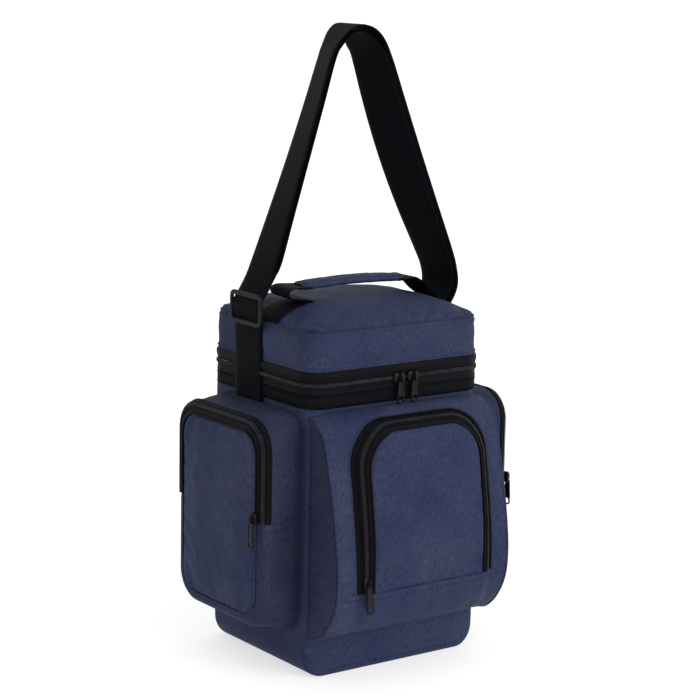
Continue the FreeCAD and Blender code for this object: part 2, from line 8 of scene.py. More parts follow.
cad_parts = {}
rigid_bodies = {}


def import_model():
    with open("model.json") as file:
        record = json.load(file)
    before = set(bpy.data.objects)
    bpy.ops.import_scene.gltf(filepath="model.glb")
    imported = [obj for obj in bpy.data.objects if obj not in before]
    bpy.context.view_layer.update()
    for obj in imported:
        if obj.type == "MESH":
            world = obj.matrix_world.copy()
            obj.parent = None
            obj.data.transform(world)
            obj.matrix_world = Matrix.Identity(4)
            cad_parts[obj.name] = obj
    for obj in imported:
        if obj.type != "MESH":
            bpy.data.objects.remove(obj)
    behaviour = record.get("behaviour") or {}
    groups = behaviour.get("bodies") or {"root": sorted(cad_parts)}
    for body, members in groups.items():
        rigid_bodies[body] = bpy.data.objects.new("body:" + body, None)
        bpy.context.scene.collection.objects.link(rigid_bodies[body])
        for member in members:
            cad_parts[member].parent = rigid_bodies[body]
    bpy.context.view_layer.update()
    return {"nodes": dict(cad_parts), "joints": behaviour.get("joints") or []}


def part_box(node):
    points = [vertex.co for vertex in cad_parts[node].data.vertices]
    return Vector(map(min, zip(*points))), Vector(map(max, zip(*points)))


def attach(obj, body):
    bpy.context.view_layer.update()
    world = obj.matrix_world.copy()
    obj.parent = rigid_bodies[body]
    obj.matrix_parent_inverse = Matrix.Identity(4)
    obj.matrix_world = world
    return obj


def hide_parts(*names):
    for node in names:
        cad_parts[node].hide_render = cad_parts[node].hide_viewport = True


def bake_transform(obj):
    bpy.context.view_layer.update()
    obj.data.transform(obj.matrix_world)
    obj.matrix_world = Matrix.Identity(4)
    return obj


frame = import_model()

# Looks of the insulated cooler bag. Shapes are worked out in millimetres and written in metres.
MM = 0.001
TAU = 2 * math.pi
scene = bpy.context.scene


def span(node):
    """A CAD node's lowest and highest corners, in millimetres."""
    low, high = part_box(node)
    return np.array(low) / MM, np.array(high) / MM


BODY_X = span("body_right_panel")[1][0]
BODY_Y = -span("body_front_panel")[0][1]
CORNER = 20.0
RIM = span("body_front_panel")[1][2]
MIDDLE = (0.0, 0.0, 170.0)

# ---------------------------------------------------------------- camera, floor and light


def make_camera():
    """A long lens in front of the bag's left front corner, level apart from a slight roll."""
    azimuth, elevation, roll = math.radians(36.19), math.radians(10.75), math.radians(1.14)
    distance = 2.2
    target = Vector((0.0047, 0.0, 0.3054))
    flat = math.cos(elevation)
    back = Vector((-math.sin(azimuth) * flat, -math.cos(azimuth) * flat, math.sin(elevation)))
    right = (-back).cross(Vector((0, 0, 1))).normalized()
    up = right.cross(-back)
    side = right * math.cos(roll) + up * math.sin(roll)
    top = up * math.cos(roll) - right * math.sin(roll)
    data = bpy.data.cameras.new("camera")
    data.lens = 111.48
    data.sensor_width = 36.0
    data.clip_end = 100.0
    camera = bpy.data.objects.new("camera", data)
    turn = Matrix((side, top, back)).transposed().to_4x4()
    camera.matrix_world = Matrix.Translation(target + back * distance) @ turn
    scene.collection.objects.link(camera)
    scene.camera = camera


def make_key():
    """A broad soft light from the front right, turned toward the bag."""
    data = bpy.data.lights.new("key", "SUN")
    data.energy = 1.9
    data.angle = math.radians(40)
    light = bpy.data.objects.new("key", data)
    light.location = (0.7, -2.2, 1.1)
    toward = Vector((0.0, 0.0, 0.2)) - light.location
    light.rotation_euler = toward.to_track_quat("-Z", "Y").to_euler()
    scene.collection.objects.link(light)


def make_studio():
    """A white room: an even sky and a pale floor that glows enough to read as white."""
    white = (1.0, 1.0, 1.0, 1.0)
    world = bpy.data.worlds.new("studio")
    world.use_nodes = True
    sky = world.node_tree.nodes["Background"].inputs
    sky["Color"].default_value = white
    sky["Strength"].default_value = 1.05
    scene.world = world
    scene.view_settings.view_transform = "Standard"
    half = 30.0
    corners = [(-half, -half, 0), (half, -half, 0), (half, half, 0), (-half, half, 0)]
    mesh = bpy.data.meshes.new("floor")
    mesh.from_pydata(corners, [], [(0, 1, 2, 3)])
    floor = bpy.data.objects.new("floor", mesh)
    scene.collection.objects.link(floor)
    pale = bpy.data.materials.new("pale_floor")
    pale.use_nodes = True
    shader = pale.node_tree.nodes["Principled BSDF"].inputs
    shader["Base Color"].default_value = (0.42, 0.42, 0.42, 1.0)
    shader["Roughness"].default_value = 0.9
    shader["Emission Color"].default_value = white
    shader["Emission Strength"].default_value = 0.62
    floor.data.materials.append(pale)


make_camera()
make_key()
make_studio()

# ---------------------------------------------------------------- materials


def linear(red, green, blue):
    """A colour given as eight-bit display values, as the shader wants it."""
    parts = []
    for value in (red, green, blue):
        share = value / 255
        parts.append(share / 12.92 if share <= 0.04045 else ((share + 0.055) / 1.055) ** 2.4)
    return (*parts, 1.0)


class Nodes:
    """A small writer for one material's node tree."""

    def __init__(self, name):
        self.material = bpy.data.materials.new(name)
        self.material.use_nodes = True
        self.tree = self.material.node_tree
        self.shader = self.tree.nodes["Principled BSDF"]

    def put(self, kind, **inputs):
        """A node with values or links on its inputs, by name or by number."""
        made = self.tree.nodes.new(kind)
        for key, value in inputs.items():
            self.feed(made, key, value)
        return made

    def feed(self, made, key, value):
        number = key.startswith("in") and key[2:].isdigit()
        socket = made.inputs[int(key[2:])] if number else made.inputs[key.replace("_", " ")]
        if isinstance(value, bpy.types.NodeSocket):
            self.tree.links.new(value, socket)
        else:
            socket.default_value = value

    def maths(self, operation, *values):
        """One arithmetic node."""
        made = self.tree.nodes.new("ShaderNodeMath")
        made.operation = operation
        for number, value in enumerate(values):
            self.feed(made, f"in{number}", value)
        return made.outputs[0]

    def noise(self, vector, scale, detail=3.0, roughness=0.55):
        """A soft random field between 0 and 1."""
        made = self.put("ShaderNodeTexNoise", Vector=vector, Scale=scale, Detail=detail,
                        Roughness=roughness)
        return made.outputs["Fac"]

    def stripes(self, vector, along, pitch):
        """A sine field, from -1 to 1, that repeats each pitch metres along a direction."""
        made = self.tree.nodes.new("ShaderNodeVectorMath")
        made.operation = "DOT_PRODUCT"
        self.feed(made, "in0", vector)
        self.feed(made, "in1", tuple(part * TAU / pitch for part in along))
        return self.maths("SINE", made.outputs["Value"])

    def ramp(self, value, *stops):
        """Colours along a 0 to 1 value."""
        made = self.put("ShaderNodeValToRGB", Fac=value)
        line = made.color_ramp
        while len(line.elements) < len(stops):
            line.elements.new(0.5)
        for element, (place, colour) in zip(line.elements, stops):
            element.position = place
            element.color = colour
        return made.outputs["Color"]

    def mix(self, share, first, second, blend="MIX"):
        """Two colours mixed by a share."""
        made = self.tree.nodes.new("ShaderNodeMix")
        made.data_type = "RGBA"
        made.blend_type = blend
        for key, value in ((0, share), (6, first), (7, second)):
            self.feed(made, f"in{key}", value)
        return made.outputs[2]

    def thread(self):
        """The cloth's own coordinates, in metres along its two directions."""
        made = self.tree.nodes.new("ShaderNodeAttribute")
        made.attribute_name = "thread"
        return made.outputs["Vector"]

    def place(self):
        """The place in the bag's frame."""
        return self.tree.nodes.new("ShaderNodeTexCoord").outputs["Object"]

    def bump(self, height, depth, strength):
        """Fine relief."""
        made = self.put("ShaderNodeBump", Height=height, Distance=depth, Strength=strength)
        self.feed(self.shader, "Normal", made.outputs["Normal"])

    def finish(self, **values):
        """The uniform values, on the shader's own sockets."""
        for key, value in values.items():
            self.feed(self.shader, key, value)
        return self.material


def navy_fabric(name, deep, main, pale, lift=1.0):
    """Twill nylon: fine slanting ribs, crossed by weft threads, with soft blotches of tone."""
    m = Nodes(name)
    thread, place = m.thread(), m.place()
    twill = m.stripes(thread, (0.78, 0.63, 0.0), 0.0017)
    weft = m.stripes(thread, (0.0, 1.0, 0.0), 0.0011)
    slub = m.noise(m.put("ShaderNodeMapping", Vector=thread, Scale=(1.0, 0.3, 1.0)).outputs[0], 620.0, 2.0)
    blotch = m.noise(place, 13.0, 4.0, 0.62)
    tone = m.ramp(blotch, (0.30, deep), (0.52, main), (0.74, pale))
    cross = m.maths("MULTIPLY_ADD", weft, 0.25, twill)
    rib = m.maths("MULTIPLY_ADD", cross, 0.5, 0.5)
    ribbed = m.mix(m.maths("MULTIPLY", rib, 0.30 * lift), tone, pale, "SCREEN")
    speck = m.ramp(slub, (0.35, (0.62, 0.62, 0.66, 1)), (0.65, (1.0, 1.0, 1.0, 1)))
    colour = m.mix(1.0, ribbed, speck, "MULTIPLY")
    m.feed(m.shader, "Base Color", colour)
    m.feed(m.shader, "Roughness", m.maths("MULTIPLY_ADD", slub, 0.22, 0.50))
    pucker = m.maths("MULTIPLY", m.noise(place, 95.0, 3.0), 2.2)
    m.bump(m.maths("ADD", m.maths("MULTIPLY", cross, 0.30), pucker), 0.00022, 0.85)
    return m.finish(Specular_IOR_Level=0.05)


def webbing(name, pitch=0.0013, pale=(14, 15, 20)):
    """Black polypropylene webbing: ribs across its width, each a row of plaited bumps."""
    m = Nodes(name)
    thread, place = m.thread(), m.place()
    rib = m.stripes(thread, (1.0, 0.0, 0.0), pitch)
    plait = m.stripes(thread, (0.5, 1.0, 0.0), 0.0019)
    weave = m.maths("MULTIPLY_ADD", m.maths("MULTIPLY", rib, plait), 0.45, rib)
    share = m.maths("MULTIPLY_ADD", weave, 0.33, 0.5)
    fuzz = m.noise(place, 700.0, 2.0)
    tone = m.ramp(m.maths("MULTIPLY", share, m.maths("ADD", fuzz, 0.45)),
                  (0.15, linear(3, 3, 6)), (0.85, linear(*pale)))
    m.feed(m.shader, "Base Color", tone)
    m.feed(m.shader, "Roughness", m.maths("MULTIPLY_ADD", fuzz, 0.25, 0.5))
    m.bump(weave, 0.00025, 0.8)
    return m.finish(Specular_IOR_Level=0.04)


def zip_tape(name):
    """Black woven zip tape: a close herringbone with a slight gloss."""
    m = Nodes(name)
    thread, place = m.thread(), m.place()
    left = m.stripes(thread, (1.0, 0.7, 0.0), 0.0011)
    right = m.stripes(thread, (1.0, -0.7, 0.0), 0.0011)
    weave = m.maths("MULTIPLY", left, right)
    fuzz = m.noise(place, 500.0, 2.0)
    tone = m.maths("MULTIPLY_ADD", weave, 0.2, fuzz)
    m.feed(m.shader, "Base Color", m.ramp(tone, (0.3, linear(4, 4, 7)), (0.8, linear(14, 14, 20))))
    m.feed(m.shader, "Roughness", m.maths("MULTIPLY_ADD", fuzz, 0.3, 0.38))
    m.bump(m.maths("ADD", weave, fuzz), 0.00018, 0.7)
    return m.finish(Specular_IOR_Level=0.07)


def moulded(name, dark, pale, rough, grain, gloss=0.3):
    """Moulded plastic or enamel: a fine grain and slightly rubbed tone."""
    m = Nodes(name)
    place = m.place()
    wear = m.noise(place, 160.0, 4.0)
    fine = m.noise(place, grain, 2.0)
    m.feed(m.shader, "Base Color", m.ramp(wear, (0.35, dark), (0.75, pale)))
    m.feed(m.shader, "Roughness", m.maths("MULTIPLY_ADD", wear, 0.2, rough))
    m.bump(fine, 0.00006, 0.6)
    return m.finish(Specular_IOR_Level=gloss)


def film(name):
    """Silvery liner film, heat-embossed in a close grid."""
    m = Nodes(name)
    place = m.place()
    pitch = 0.006
    grid = m.maths("MULTIPLY", m.stripes(place, (1, 1, 0.6), pitch), m.stripes(place, (0.6, -1, 1), pitch))
    crease = m.noise(place, 40.0, 5.0)
    tone = m.ramp(crease, (0.3, linear(196, 199, 204)), (0.8, linear(226, 228, 231)))
    m.feed(m.shader, "Base Color", tone)
    m.feed(m.shader, "Roughness", m.maths("MULTIPLY_ADD", crease, 0.3, 0.18))
    m.bump(m.maths("MULTIPLY_ADD", grid, 0.4, m.maths("MULTIPLY", crease, 3.0)), 0.0006, 0.8)
    return m.finish(Metallic=0.75)


def foam(name):
    """Closed-cell foam board: pale, with open bubbles at its cut faces."""
    m = Nodes(name)
    cells = m.put("ShaderNodeTexVoronoi", Vector=m.place(), Scale=900.0).outputs["Distance"]
    tone = m.ramp(cells, (0.05, linear(196, 197, 196)), (0.5, linear(232, 232, 229)))
    m.feed(m.shader, "Base Color", tone)
    m.feed(m.shader, "Roughness", m.maths("MULTIPLY_ADD", cells, 0.2, 0.75))
    m.bump(cells, 0.0004, 0.7)
    return m.finish(Specular_IOR_Level=0.3)


NAVY = navy_fabric("navy_twill", linear(32, 39, 67), linear(41, 47, 70), linear(51, 55, 78))
# A shaded copy of the navy twill: the same cloth painted darker and greyer for the parts that sit in shade,
# which are the pocket gussets, the base and the lid's piping; painted shade.
NAVY_SHADED = navy_fabric("navy_gusset", linear(32, 36, 57), linear(40, 44, 64), linear(48, 51, 71), 0.8)
WEBBING = webbing("black_webbing")
GROSGRAIN = webbing("grosgrain", 0.0021, (20, 21, 27))
TAPE = zip_tape("zip_tape")
COIL = moulded("zip_coil", linear(24, 25, 29), linear(48, 49, 54), 0.34, 1500.0, 0.2)
PLASTIC = moulded("black_acetal", linear(5, 5, 8), linear(12, 12, 16), 0.40, 2200.0, 0.14)
ENAMEL = moulded("slider_enamel", linear(3, 3, 5), linear(9, 9, 12), 0.24, 2600.0, 0.16)
FILM = film("liner_film")
FOAM = foam("foam")
THREAD = moulded("navy_thread", linear(20, 23, 40), linear(32, 36, 56), 0.55, 3000.0)

# ---------------------------------------------------------------- mesh helpers


def unit(vectors):
    """Vectors scaled to length one."""
    return vectors / (np.linalg.norm(vectors, axis=-1, keepdims=True) + 1e-12)


def ease(value):
    """A smooth step from 0 to 1."""
    value = np.clip(value, 0.0, 1.0)
    return value * value * (3 - 2 * value)


def wander(points, size, seed):
    """A smooth random field from about -1 to 1, with lumps about size millimetres across."""
    flat = (np.asarray(points) * (2.0 / size) + seed * 17.3).reshape(-1, 3)
    field = [noise.noise(spot) + 0.4 * noise.noise(spot * 2.1) for spot in map(Vector, flat.tolist())]
    return 1.5 * np.array(field).reshape(np.shape(points)[:-1])


def lengths(points):
    """Distance along a polyline at each of its points."""
    steps = np.linalg.norm(np.diff(points, axis=0), axis=1)
    return np.concatenate([[0.0], np.cumsum(steps)])


def resample(points, count=None, pitch=None):
    """A polyline's points again, evenly spaced."""
    points = np.asarray(points, float)
    along = lengths(points)
    if count is None:
        count = max(2, int(round(along[-1] / pitch)) + 1)
    at = np.linspace(0, along[-1], count)
    return np.stack([np.interp(at, along, points[:, k]) for k in range(points.shape[1])], axis=1)


def curve(points, count=None, pitch=None):
    """A smooth line through points, evenly spaced."""
    points = np.asarray(points, float)
    ends = np.vstack([2 * points[0] - points[1], points, 2 * points[-1] - points[-2]])
    share = np.linspace(0, 1, 16, endpoint=False)[:, None]
    runs = []
    for a, b, c, d in zip(ends, ends[1:], ends[2:], ends[3:]):
        runs.append(0.5 * (2 * b + (c - a) * share + (2 * a - 5 * b + 4 * c - d) * share**2
                           + (3 * b - 3 * c + d - a) * share**3))
    return resample(np.vstack([*runs, points[-1:]]), count, pitch)


def normals(grid, wrap_u=False, wrap_v=False):
    """Unit normals of a grid of points."""
    def step(axis, wrap):
        if wrap:
            return np.roll(grid, -1, axis) - np.roll(grid, 1, axis)
        return np.gradient(grid, axis=axis)

    return unit(np.cross(step(0, wrap_u), step(1, wrap_v)))


def outward(grid, wrap_u, wrap_v, centre):
    """Normals that point away from a centre, and the sign that makes them do so."""
    field = normals(grid, wrap_u, wrap_v)
    sign = 1.0 if np.sum(field * (grid - np.asarray(centre))) >= 0 else -1.0
    return field * sign, sign


def facing_out(grid, centre=MIDDLE, wrap_u=False, wrap_v=False):
    """A grid's normals, away from a centre."""
    return outward(grid, wrap_u, wrap_v, centre)[0]


def build(name, points, faces, material, smooth=True):
    """A mesh object from points in millimetres."""
    mesh = bpy.data.meshes.new(name)
    mesh.from_pydata((np.asarray(points) * MM).tolist(), [], [list(map(int, face)) for face in faces])
    mesh.materials.append(material)
    mesh.polygons.foreach_set("use_smooth", [smooth] * len(mesh.polygons))
    mesh.update()
    made = bpy.data.objects.new(name, mesh)
    scene.collection.objects.link(made)
    return made


def read(source, key, width, kind=np.float32):
    """A mesh collection's values as an array, width to an item."""
    held = np.empty(len(source) * width, kind)
    source.foreach_get(key, held)
    return held.reshape(-1, width) if width > 1 else held


def threads(obj, values):
    """Store each face corner's cloth coordinates, in metres."""
    held = obj.data.attributes.new("thread", "FLOAT_VECTOR", "CORNER")
    flat = np.zeros((len(obj.data.loops), 3), np.float32)
    flat[:, :2] = values
    held.data.foreach_set("vector", flat.ravel())


def threads_by_side(obj):
    """Cloth coordinates from each face's main direction: the panels are cut square to the bag."""
    mesh = obj.data
    spots = read(mesh.vertices, "co", 3)
    corners = read(mesh.loops, "vertex_index", 1, np.int32)
    counts = read(mesh.polygons, "loop_total", 1, np.int32)
    main = np.repeat(np.abs(read(mesh.polygons, "normal", 3)).argmax(1), counts)
    first = np.where(main == 0, 1, 0)
    second = np.where(main == 2, 1, 2)
    rows = np.arange(len(corners))
    threads(obj, np.stack([spots[corners][rows, first], spots[corners][rows, second]], axis=1))


def skin(name, grid, material, thick, wrap_u=False, wrap_v=False, centre=MIDDLE, by_side=True):
    """Cloth of a thickness with its outer face on a grid, closed along its edges."""
    grid = np.asarray(grid, float)
    field, sign = outward(grid, wrap_u, wrap_v, centre)
    rows, columns = grid.shape[:2]
    points = np.concatenate([grid.reshape(-1, 3), (grid - field * thick).reshape(-1, 3)])
    under = rows * columns
    along, around = np.arange(rows - (not wrap_u)), np.arange(columns - (not wrap_v))
    u, v = (part.ravel() for part in np.meshgrid(along, around, indexing="ij"))

    def at(a, b):
        return (a % rows) * columns + (b % columns)

    def beside(corners):
        """The corners' (row, column) marks, one face to a row."""
        return np.stack([np.stack(pair, 1) for pair in corners], axis=1)

    corners = ((u, v), (u + 1, v), (u + 1, v + 1), (u, v + 1))
    outer, marks = np.stack([at(*pair) for pair in corners], axis=1), beside(corners)
    if sign < 0:
        outer, marks = outer[:, ::-1], marks[:, ::-1]
    faces, places = [outer, outer[:, ::-1] + under], [marks, marks[:, ::-1]]
    edges = [] if wrap_v else [(along, 0, True), (along, columns - 1, True)]
    if not wrap_u:
        edges += [(around, 0, False), (around, rows - 1, False)]
    for steps, side, along_u in edges:
        fixed = np.full_like(steps, side)
        first, second = (steps, fixed), (steps + 1, fixed)
        if not along_u:
            first, second = first[::-1], second[::-1]
        a, b = at(*first), at(*second)
        quad, mark = np.stack([a, b, b + under, a + under], axis=1), beside((first, second, second, first))
        if ((side == 0) != along_u) == (sign > 0):
            quad, mark = quad[:, ::-1], mark[:, ::-1]
        faces.append(quad)
        places.append(mark)
    made = build(name, points, np.concatenate(faces), material)
    if by_side:
        threads_by_side(made)
        return made
    middle_row, middle_column = grid[:, columns // 2], grid[rows // 2]
    along_u = lengths(np.vstack([middle_row, middle_row[:1]]))
    along_v = lengths(np.vstack([middle_column, middle_column[:1]]))
    marks = np.concatenate(places).reshape(-1, 2)
    threads(made, np.stack([along_u[marks[:, 0]], along_v[marks[:, 1]]], axis=1) * MM)
    return made


def join(name, parts):
    """Several mesh objects as one, keeping their cloth coordinates."""
    for part in scene.objects:
        part.select_set(False)
    for part in parts:
        part.select_set(True)
    bpy.context.view_layer.objects.active = parts[0]
    bpy.ops.object.join()
    parts[0].name = name
    parts[0].data.name = name
    return parts[0]


def carried(obj, body, slot, *nodes):
    """A piece that rides on one body and stands for CAD nodes."""
    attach(obj, body)
    if nodes:
        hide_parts(*nodes)
    return obj


def tube(name, grid, material, along=None, around=None, closed=False, inward=False):
    """A solid from closed outlines one after another, capped at both ends unless it closes on itself.

    With along and around, in metres, the cloth coordinates follow the tube; else the piece's sides.
    """
    rows, columns = grid.shape[:2]
    steps = (np.arange(rows if closed else rows - 1), np.arange(columns))
    u, v = (part.ravel() for part in np.meshgrid(*steps, indexing="ij"))
    after, beside = (u + 1) % rows, (v + 1) % columns
    faces = np.stack([u * columns + v, u * columns + beside, after * columns + beside, after * columns + v],
                     axis=1).tolist()
    if not closed:
        faces += [list(range(columns))[::-1], list(range((rows - 1) * columns, rows * columns))]
    if inward:
        faces = [face[::-1] for face in faces]
    made = build(name, grid.reshape(-1, 3), faces, material)
    if along is None:
        threads_by_side(made)
        return made
    marks_u, marks_v = np.stack([u, u, u + 1, u + 1], axis=1), np.stack([v, v + 1, v + 1, v], axis=1)
    if inward:
        marks_u, marks_v = marks_u[:, ::-1], marks_v[:, ::-1]
    values = np.stack([along[marks_u], around[marks_v]], axis=-1).reshape(-1, 2)
    caps = np.zeros((0 if closed else 2 * columns, 2))
    threads(made, np.vstack([values, caps]))
    return made


def swept(name, path, section, material, closed=False, up=(0.0, 0.0, 1.0)):
    """A solid bar: a closed section, as (side, up) pairs, carried along a path with rounded-off ends."""
    path = np.asarray(path, float)
    if closed:
        tangent = unit(np.roll(path, -1, 0) - np.roll(path, 1, 0))
    else:
        tangent = unit(np.gradient(path, axis=0))
    side = unit(np.cross(tangent, np.broadcast_to(np.asarray(up, float), path.shape)))
    top = unit(np.cross(side, tangent))
    section = np.asarray(section, float)
    sizes = np.ones(len(path))
    if not closed:
        sizes[0] = sizes[-1] = 0.72
    grid = path[:, None] + sizes[:, None, None] * (
        section[None, :, :1] * side[:, None] + section[None, :, 1:] * top[:, None])
    along = lengths(np.vstack([path, path[:1]])) * MM
    return tube(name, grid, material, along, np.arange(len(section) + 1) * MM, closed)


def disc(radius, count=8):
    """A round section."""
    angle = np.arange(count) * TAU / count
    return np.stack([radius * np.cos(angle), radius * np.sin(angle)], axis=1)


def blocks(name, places, ways, facings, size, material, taper=0.8):
    """Many small blocks in one mesh: each at a place, long way first, facing outward."""
    places, ways, facings = (np.asarray(part, float) for part in (places, ways, facings))
    ways = unit(ways)
    sides = unit(np.cross(facings, ways))
    facings = np.cross(ways, sides)
    long, wide, tall = (part / 2 for part in size)
    points = []
    for up, scale in ((-tall, 1.0), (tall, taper)):
        for a, b in ((-1, -1), (1, -1), (1, 1), (-1, 1)):
            points.append(places + ways * a * long * scale + sides * b * wide * scale + facings * up)
    points = np.stack(points, axis=1).reshape(-1, 3)
    pattern = np.array([(0, 3, 2, 1), (4, 5, 6, 7), (0, 1, 5, 4), (1, 2, 6, 5), (2, 3, 7, 6), (3, 0, 4, 7)])
    faces = (np.arange(len(places))[:, None, None] * 8 + pattern[None]).reshape(-1, 4)
    made = build(name, points, faces, material, smooth=False)
    threads_by_side(made)
    return made


def stitches(name, lines, material=THREAD, pitch=3.4):
    """Rows of stitches: each line is points and the outward way at them."""
    lift, size = 0.15, (2.3, 0.62, 0.5)
    places, ways, facings = [], [], []
    for points, facing in lines:
        points = np.asarray(points, float)
        spots = resample(np.hstack([points, np.broadcast_to(facing, points.shape)]), pitch=pitch)
        at, out = spots[:, :3], unit(spots[:, 3:])
        places.append(at[:-1] + np.diff(at, axis=0) / 2 + out[:-1] * lift)
        ways.append(np.diff(at, axis=0))
        facings.append(out[:-1])
    return blocks(name, np.vstack(places), np.vstack(ways), np.vstack(facings), size, material)


TOOTH_PITCH = 2.0


def teeth(name, path, across, facing, shift, size=(2.3, 1.1, 1.6)):
    """One side of a coil zip: a row of small teeth along a path, each reaching across the gap."""
    path = np.asarray(path, float)
    stacked = np.hstack([path, np.broadcast_to(across, path.shape), np.broadcast_to(facing, path.shape)])
    total = lengths(path)
    at = np.arange(shift * TOOTH_PITCH, total[-1], TOOTH_PITCH)
    spots = np.stack([np.interp(at, total, stacked[:, k]) for k in range(9)], axis=1)
    return blocks(name, spots[:, :3], spots[:, 3:6], unit(spots[:, 6:]), size, COIL, 0.72)


SWELL_FRAMES = 20


def inflate(obj, pinned, pressure, limit, puff):
    """Swell a cloth with Blender's cloth solver, its pinned points held, and keep the result.

    A point may move at most limit millimetres.
    """
    mesh = obj.data
    start = read(mesh.vertices, "co", 3)
    group = obj.vertex_groups.new(name="pinned")
    group.add([int(k) for k in pinned], 1.0, "REPLACE")
    cloth = obj.modifiers.new("cloth", "CLOTH")
    settings = cloth.settings
    settings.quality = 6
    settings.mass = 0.25
    settings.tension_stiffness = settings.compression_stiffness = 25.0
    settings.shear_stiffness = 12.0
    settings.bending_stiffness = 2.5
    settings.vertex_group_mass = "pinned"
    settings.use_pressure = True
    settings.uniform_pressure_force = pressure
    settings.shrink_min = -puff
    settings.effector_weights.gravity = 0.0
    cloth.collision_settings.use_collision = False
    cloth.point_cache.frame_start = 1
    cloth.point_cache.frame_end = SWELL_FRAMES
    for frame_number in range(1, SWELL_FRAMES + 1):
        scene.frame_set(frame_number)
    depsgraph = bpy.context.evaluated_depsgraph_get()
    moved = read(obj.evaluated_get(depsgraph).to_mesh().vertices, "co", 3)
    obj.evaluated_get(depsgraph).to_mesh_clear()
    obj.modifiers.remove(cloth)
    obj.vertex_groups.remove(group)
    scene.frame_set(1)
    shift = moved - start
    size = np.linalg.norm(shift, axis=1, keepdims=True)
    cap = limit * MM
    shift *= np.where(size > cap, cap / np.maximum(size, 1e-9), 1.0)
    mesh.vertices.foreach_set("co", (start + shift).ravel())
    mesh.update()


def padded_grid(grid, pressure, limit, puff):
    """A grid's shape after swelling with its border held, at twice the fineness."""
    rows, columns = grid.shape[:2]
    index = np.arange(rows * columns).reshape(rows, columns)
    cells = np.stack([index[:-1, :-1], index[1:, :-1], index[1:, 1:], index[:-1, 1:]], axis=-1)
    cells = cells.reshape(-1, 4)
    sign = outward(grid, False, False, MIDDLE)[1]
    trial = build("padding_trial", grid.reshape(-1, 3), cells if sign > 0 else cells[:, ::-1], NAVY)
    border = np.unique(np.concatenate([index[0], index[-1], index[:, 0], index[:, -1]]))
    inflate(trial, border, pressure, limit, puff)
    swollen = read(trial.data.vertices, "co", 3).reshape(grid.shape).astype(float) / MM
    bpy.data.objects.remove(trial)
    return refine(swollen)


def refine(grid):
    """A grid at twice the fineness, smoothly rounded between its points."""
    for axis in (0, 1):
        grid = np.moveaxis(grid, axis, 0)
        ends = np.concatenate([2 * grid[:1] - grid[1:2], grid, 2 * grid[-1:] - grid[-2:-1]])
        between = (9 * (ends[1:-2] + ends[2:-1]) - ends[:-3] - ends[3:]) / 16
        made = np.empty((2 * len(grid) - 1, *grid.shape[1:]))
        made[::2], made[1::2] = grid, between
        grid = np.moveaxis(made, 0, axis)
    return grid


def rolled(grid, reach, drop, sides=(True, True, True, True), centre=MIDDLE):
    """Turn a grid's edges under, like cloth at a seam.

    Sides are its first and last row, then its first and last column.
    """
    field = facing_out(grid, centre)
    rows, columns = grid.shape[:2]
    along_u = lengths(grid[:, columns // 2])
    along_v = lengths(grid[rows // 2])
    away = np.full((rows, columns), 1e9)
    for use, distance in zip(sides, (along_u[:, None], along_u[-1] - along_u[:, None],
                                     along_v[None], along_v[-1] - along_v[None])):
        if use:
            away = np.minimum(away, distance)
    share = np.clip(1 - away / reach, 0, 1)
    return grid - field * (drop * (1 - np.sqrt(1 - 0.999 * share**2)))[..., None]

# ---------------------------------------------------------------- outlines


def arc(start, turn, count):
    """Cosine and sine pairs over a turn, both in degrees, without the last."""
    angle = np.radians(start + turn * np.arange(count) / count)
    return np.stack([np.cos(angle), np.sin(angle)], axis=1)


def bend(centre, radius, start, turn, count):
    """Points round a corner, without the last; degrees as in arc."""
    return np.array(centre) + radius * arc(start, turn, count)


def run(start, end, count):
    """Evenly spaced points on a straight run, without the last."""
    share = np.arange(count)[:, None] / count
    return np.asarray(start, float) * (1 - share) + np.asarray(end, float) * share


def plan(x, y, front, back):
    """Round the bag, x and y its half sizes: from the middle of the back by left, front and right."""
    return np.vstack([
        run((0, y), (-x + back, y), 20),
        bend((-x + back, y - back), back, 90, 90, 9),
        run((-x, y - back), (-x, -y + front), 36),
        bend((-x + front, -y + front), front, 180, 90, 9),
        run((-x + front, -y), (x - front, -y), 40),
        bend((x - front, -y + front), front, 270, 90, 9),
        run((x, -y + front), (x, y - back), 36),
        bend((x - back, y - back), back, 0, 90, 9),
        run((x - back, y), (0, y), 20),
    ])


def flat_ring(outset, height):
    """The bag's plan at a height, set out from its outer face."""
    outline = plan(BODY_X + outset, BODY_Y + outset, CORNER + outset, CORNER + outset)
    return np.column_stack([outline, np.full(len(outline), height)])


ZIP_BACK = span("main_zip_chain_lower")[1][1]


def zip_run(outset, height):
    """The part of a ring that the main zip follows, from the back left corner to the back right."""
    followed = flat_ring(0.0, height)[:, 1] <= ZIP_BACK + 0.01
    return flat_ring(outset, height)[followed]


def patch(half, low, high, low_round, high_round, pitch):
    """A sheet's (across, up) grid: a rectangle whose lower and upper corners may be rounded."""
    rows = []
    if low_round:
        for cosine, sine in arc(-90, 90, 7):
            rows.append((half - low_round + low_round * cosine, low + low_round + low_round * sine))
    bottom, top = low + low_round, high - high_round
    for up in np.linspace(bottom, top, max(3, int((top - bottom) / pitch) + 1)):
        rows.append((half, up))
    for cosine, sine in arc(0, 90, 7)[1:]:
        rows.append((half - high_round + high_round * cosine, top + high_round * sine))
    rows.append((half - high_round, high))
    rows = np.array(rows)
    across = np.linspace(-1, 1, int(2 * half / pitch) | 1)
    return rows[:, :1] * across[None], np.repeat(rows[:, 1:], len(across), axis=1)


# ---------------------------------------------------------------- body


BASE_ROUND = 22.0
FOOT_ROUND = 5.0  # along the front and back of the base
SEAM_ROUND = 7.0
SHARP_BELOW = 262.0


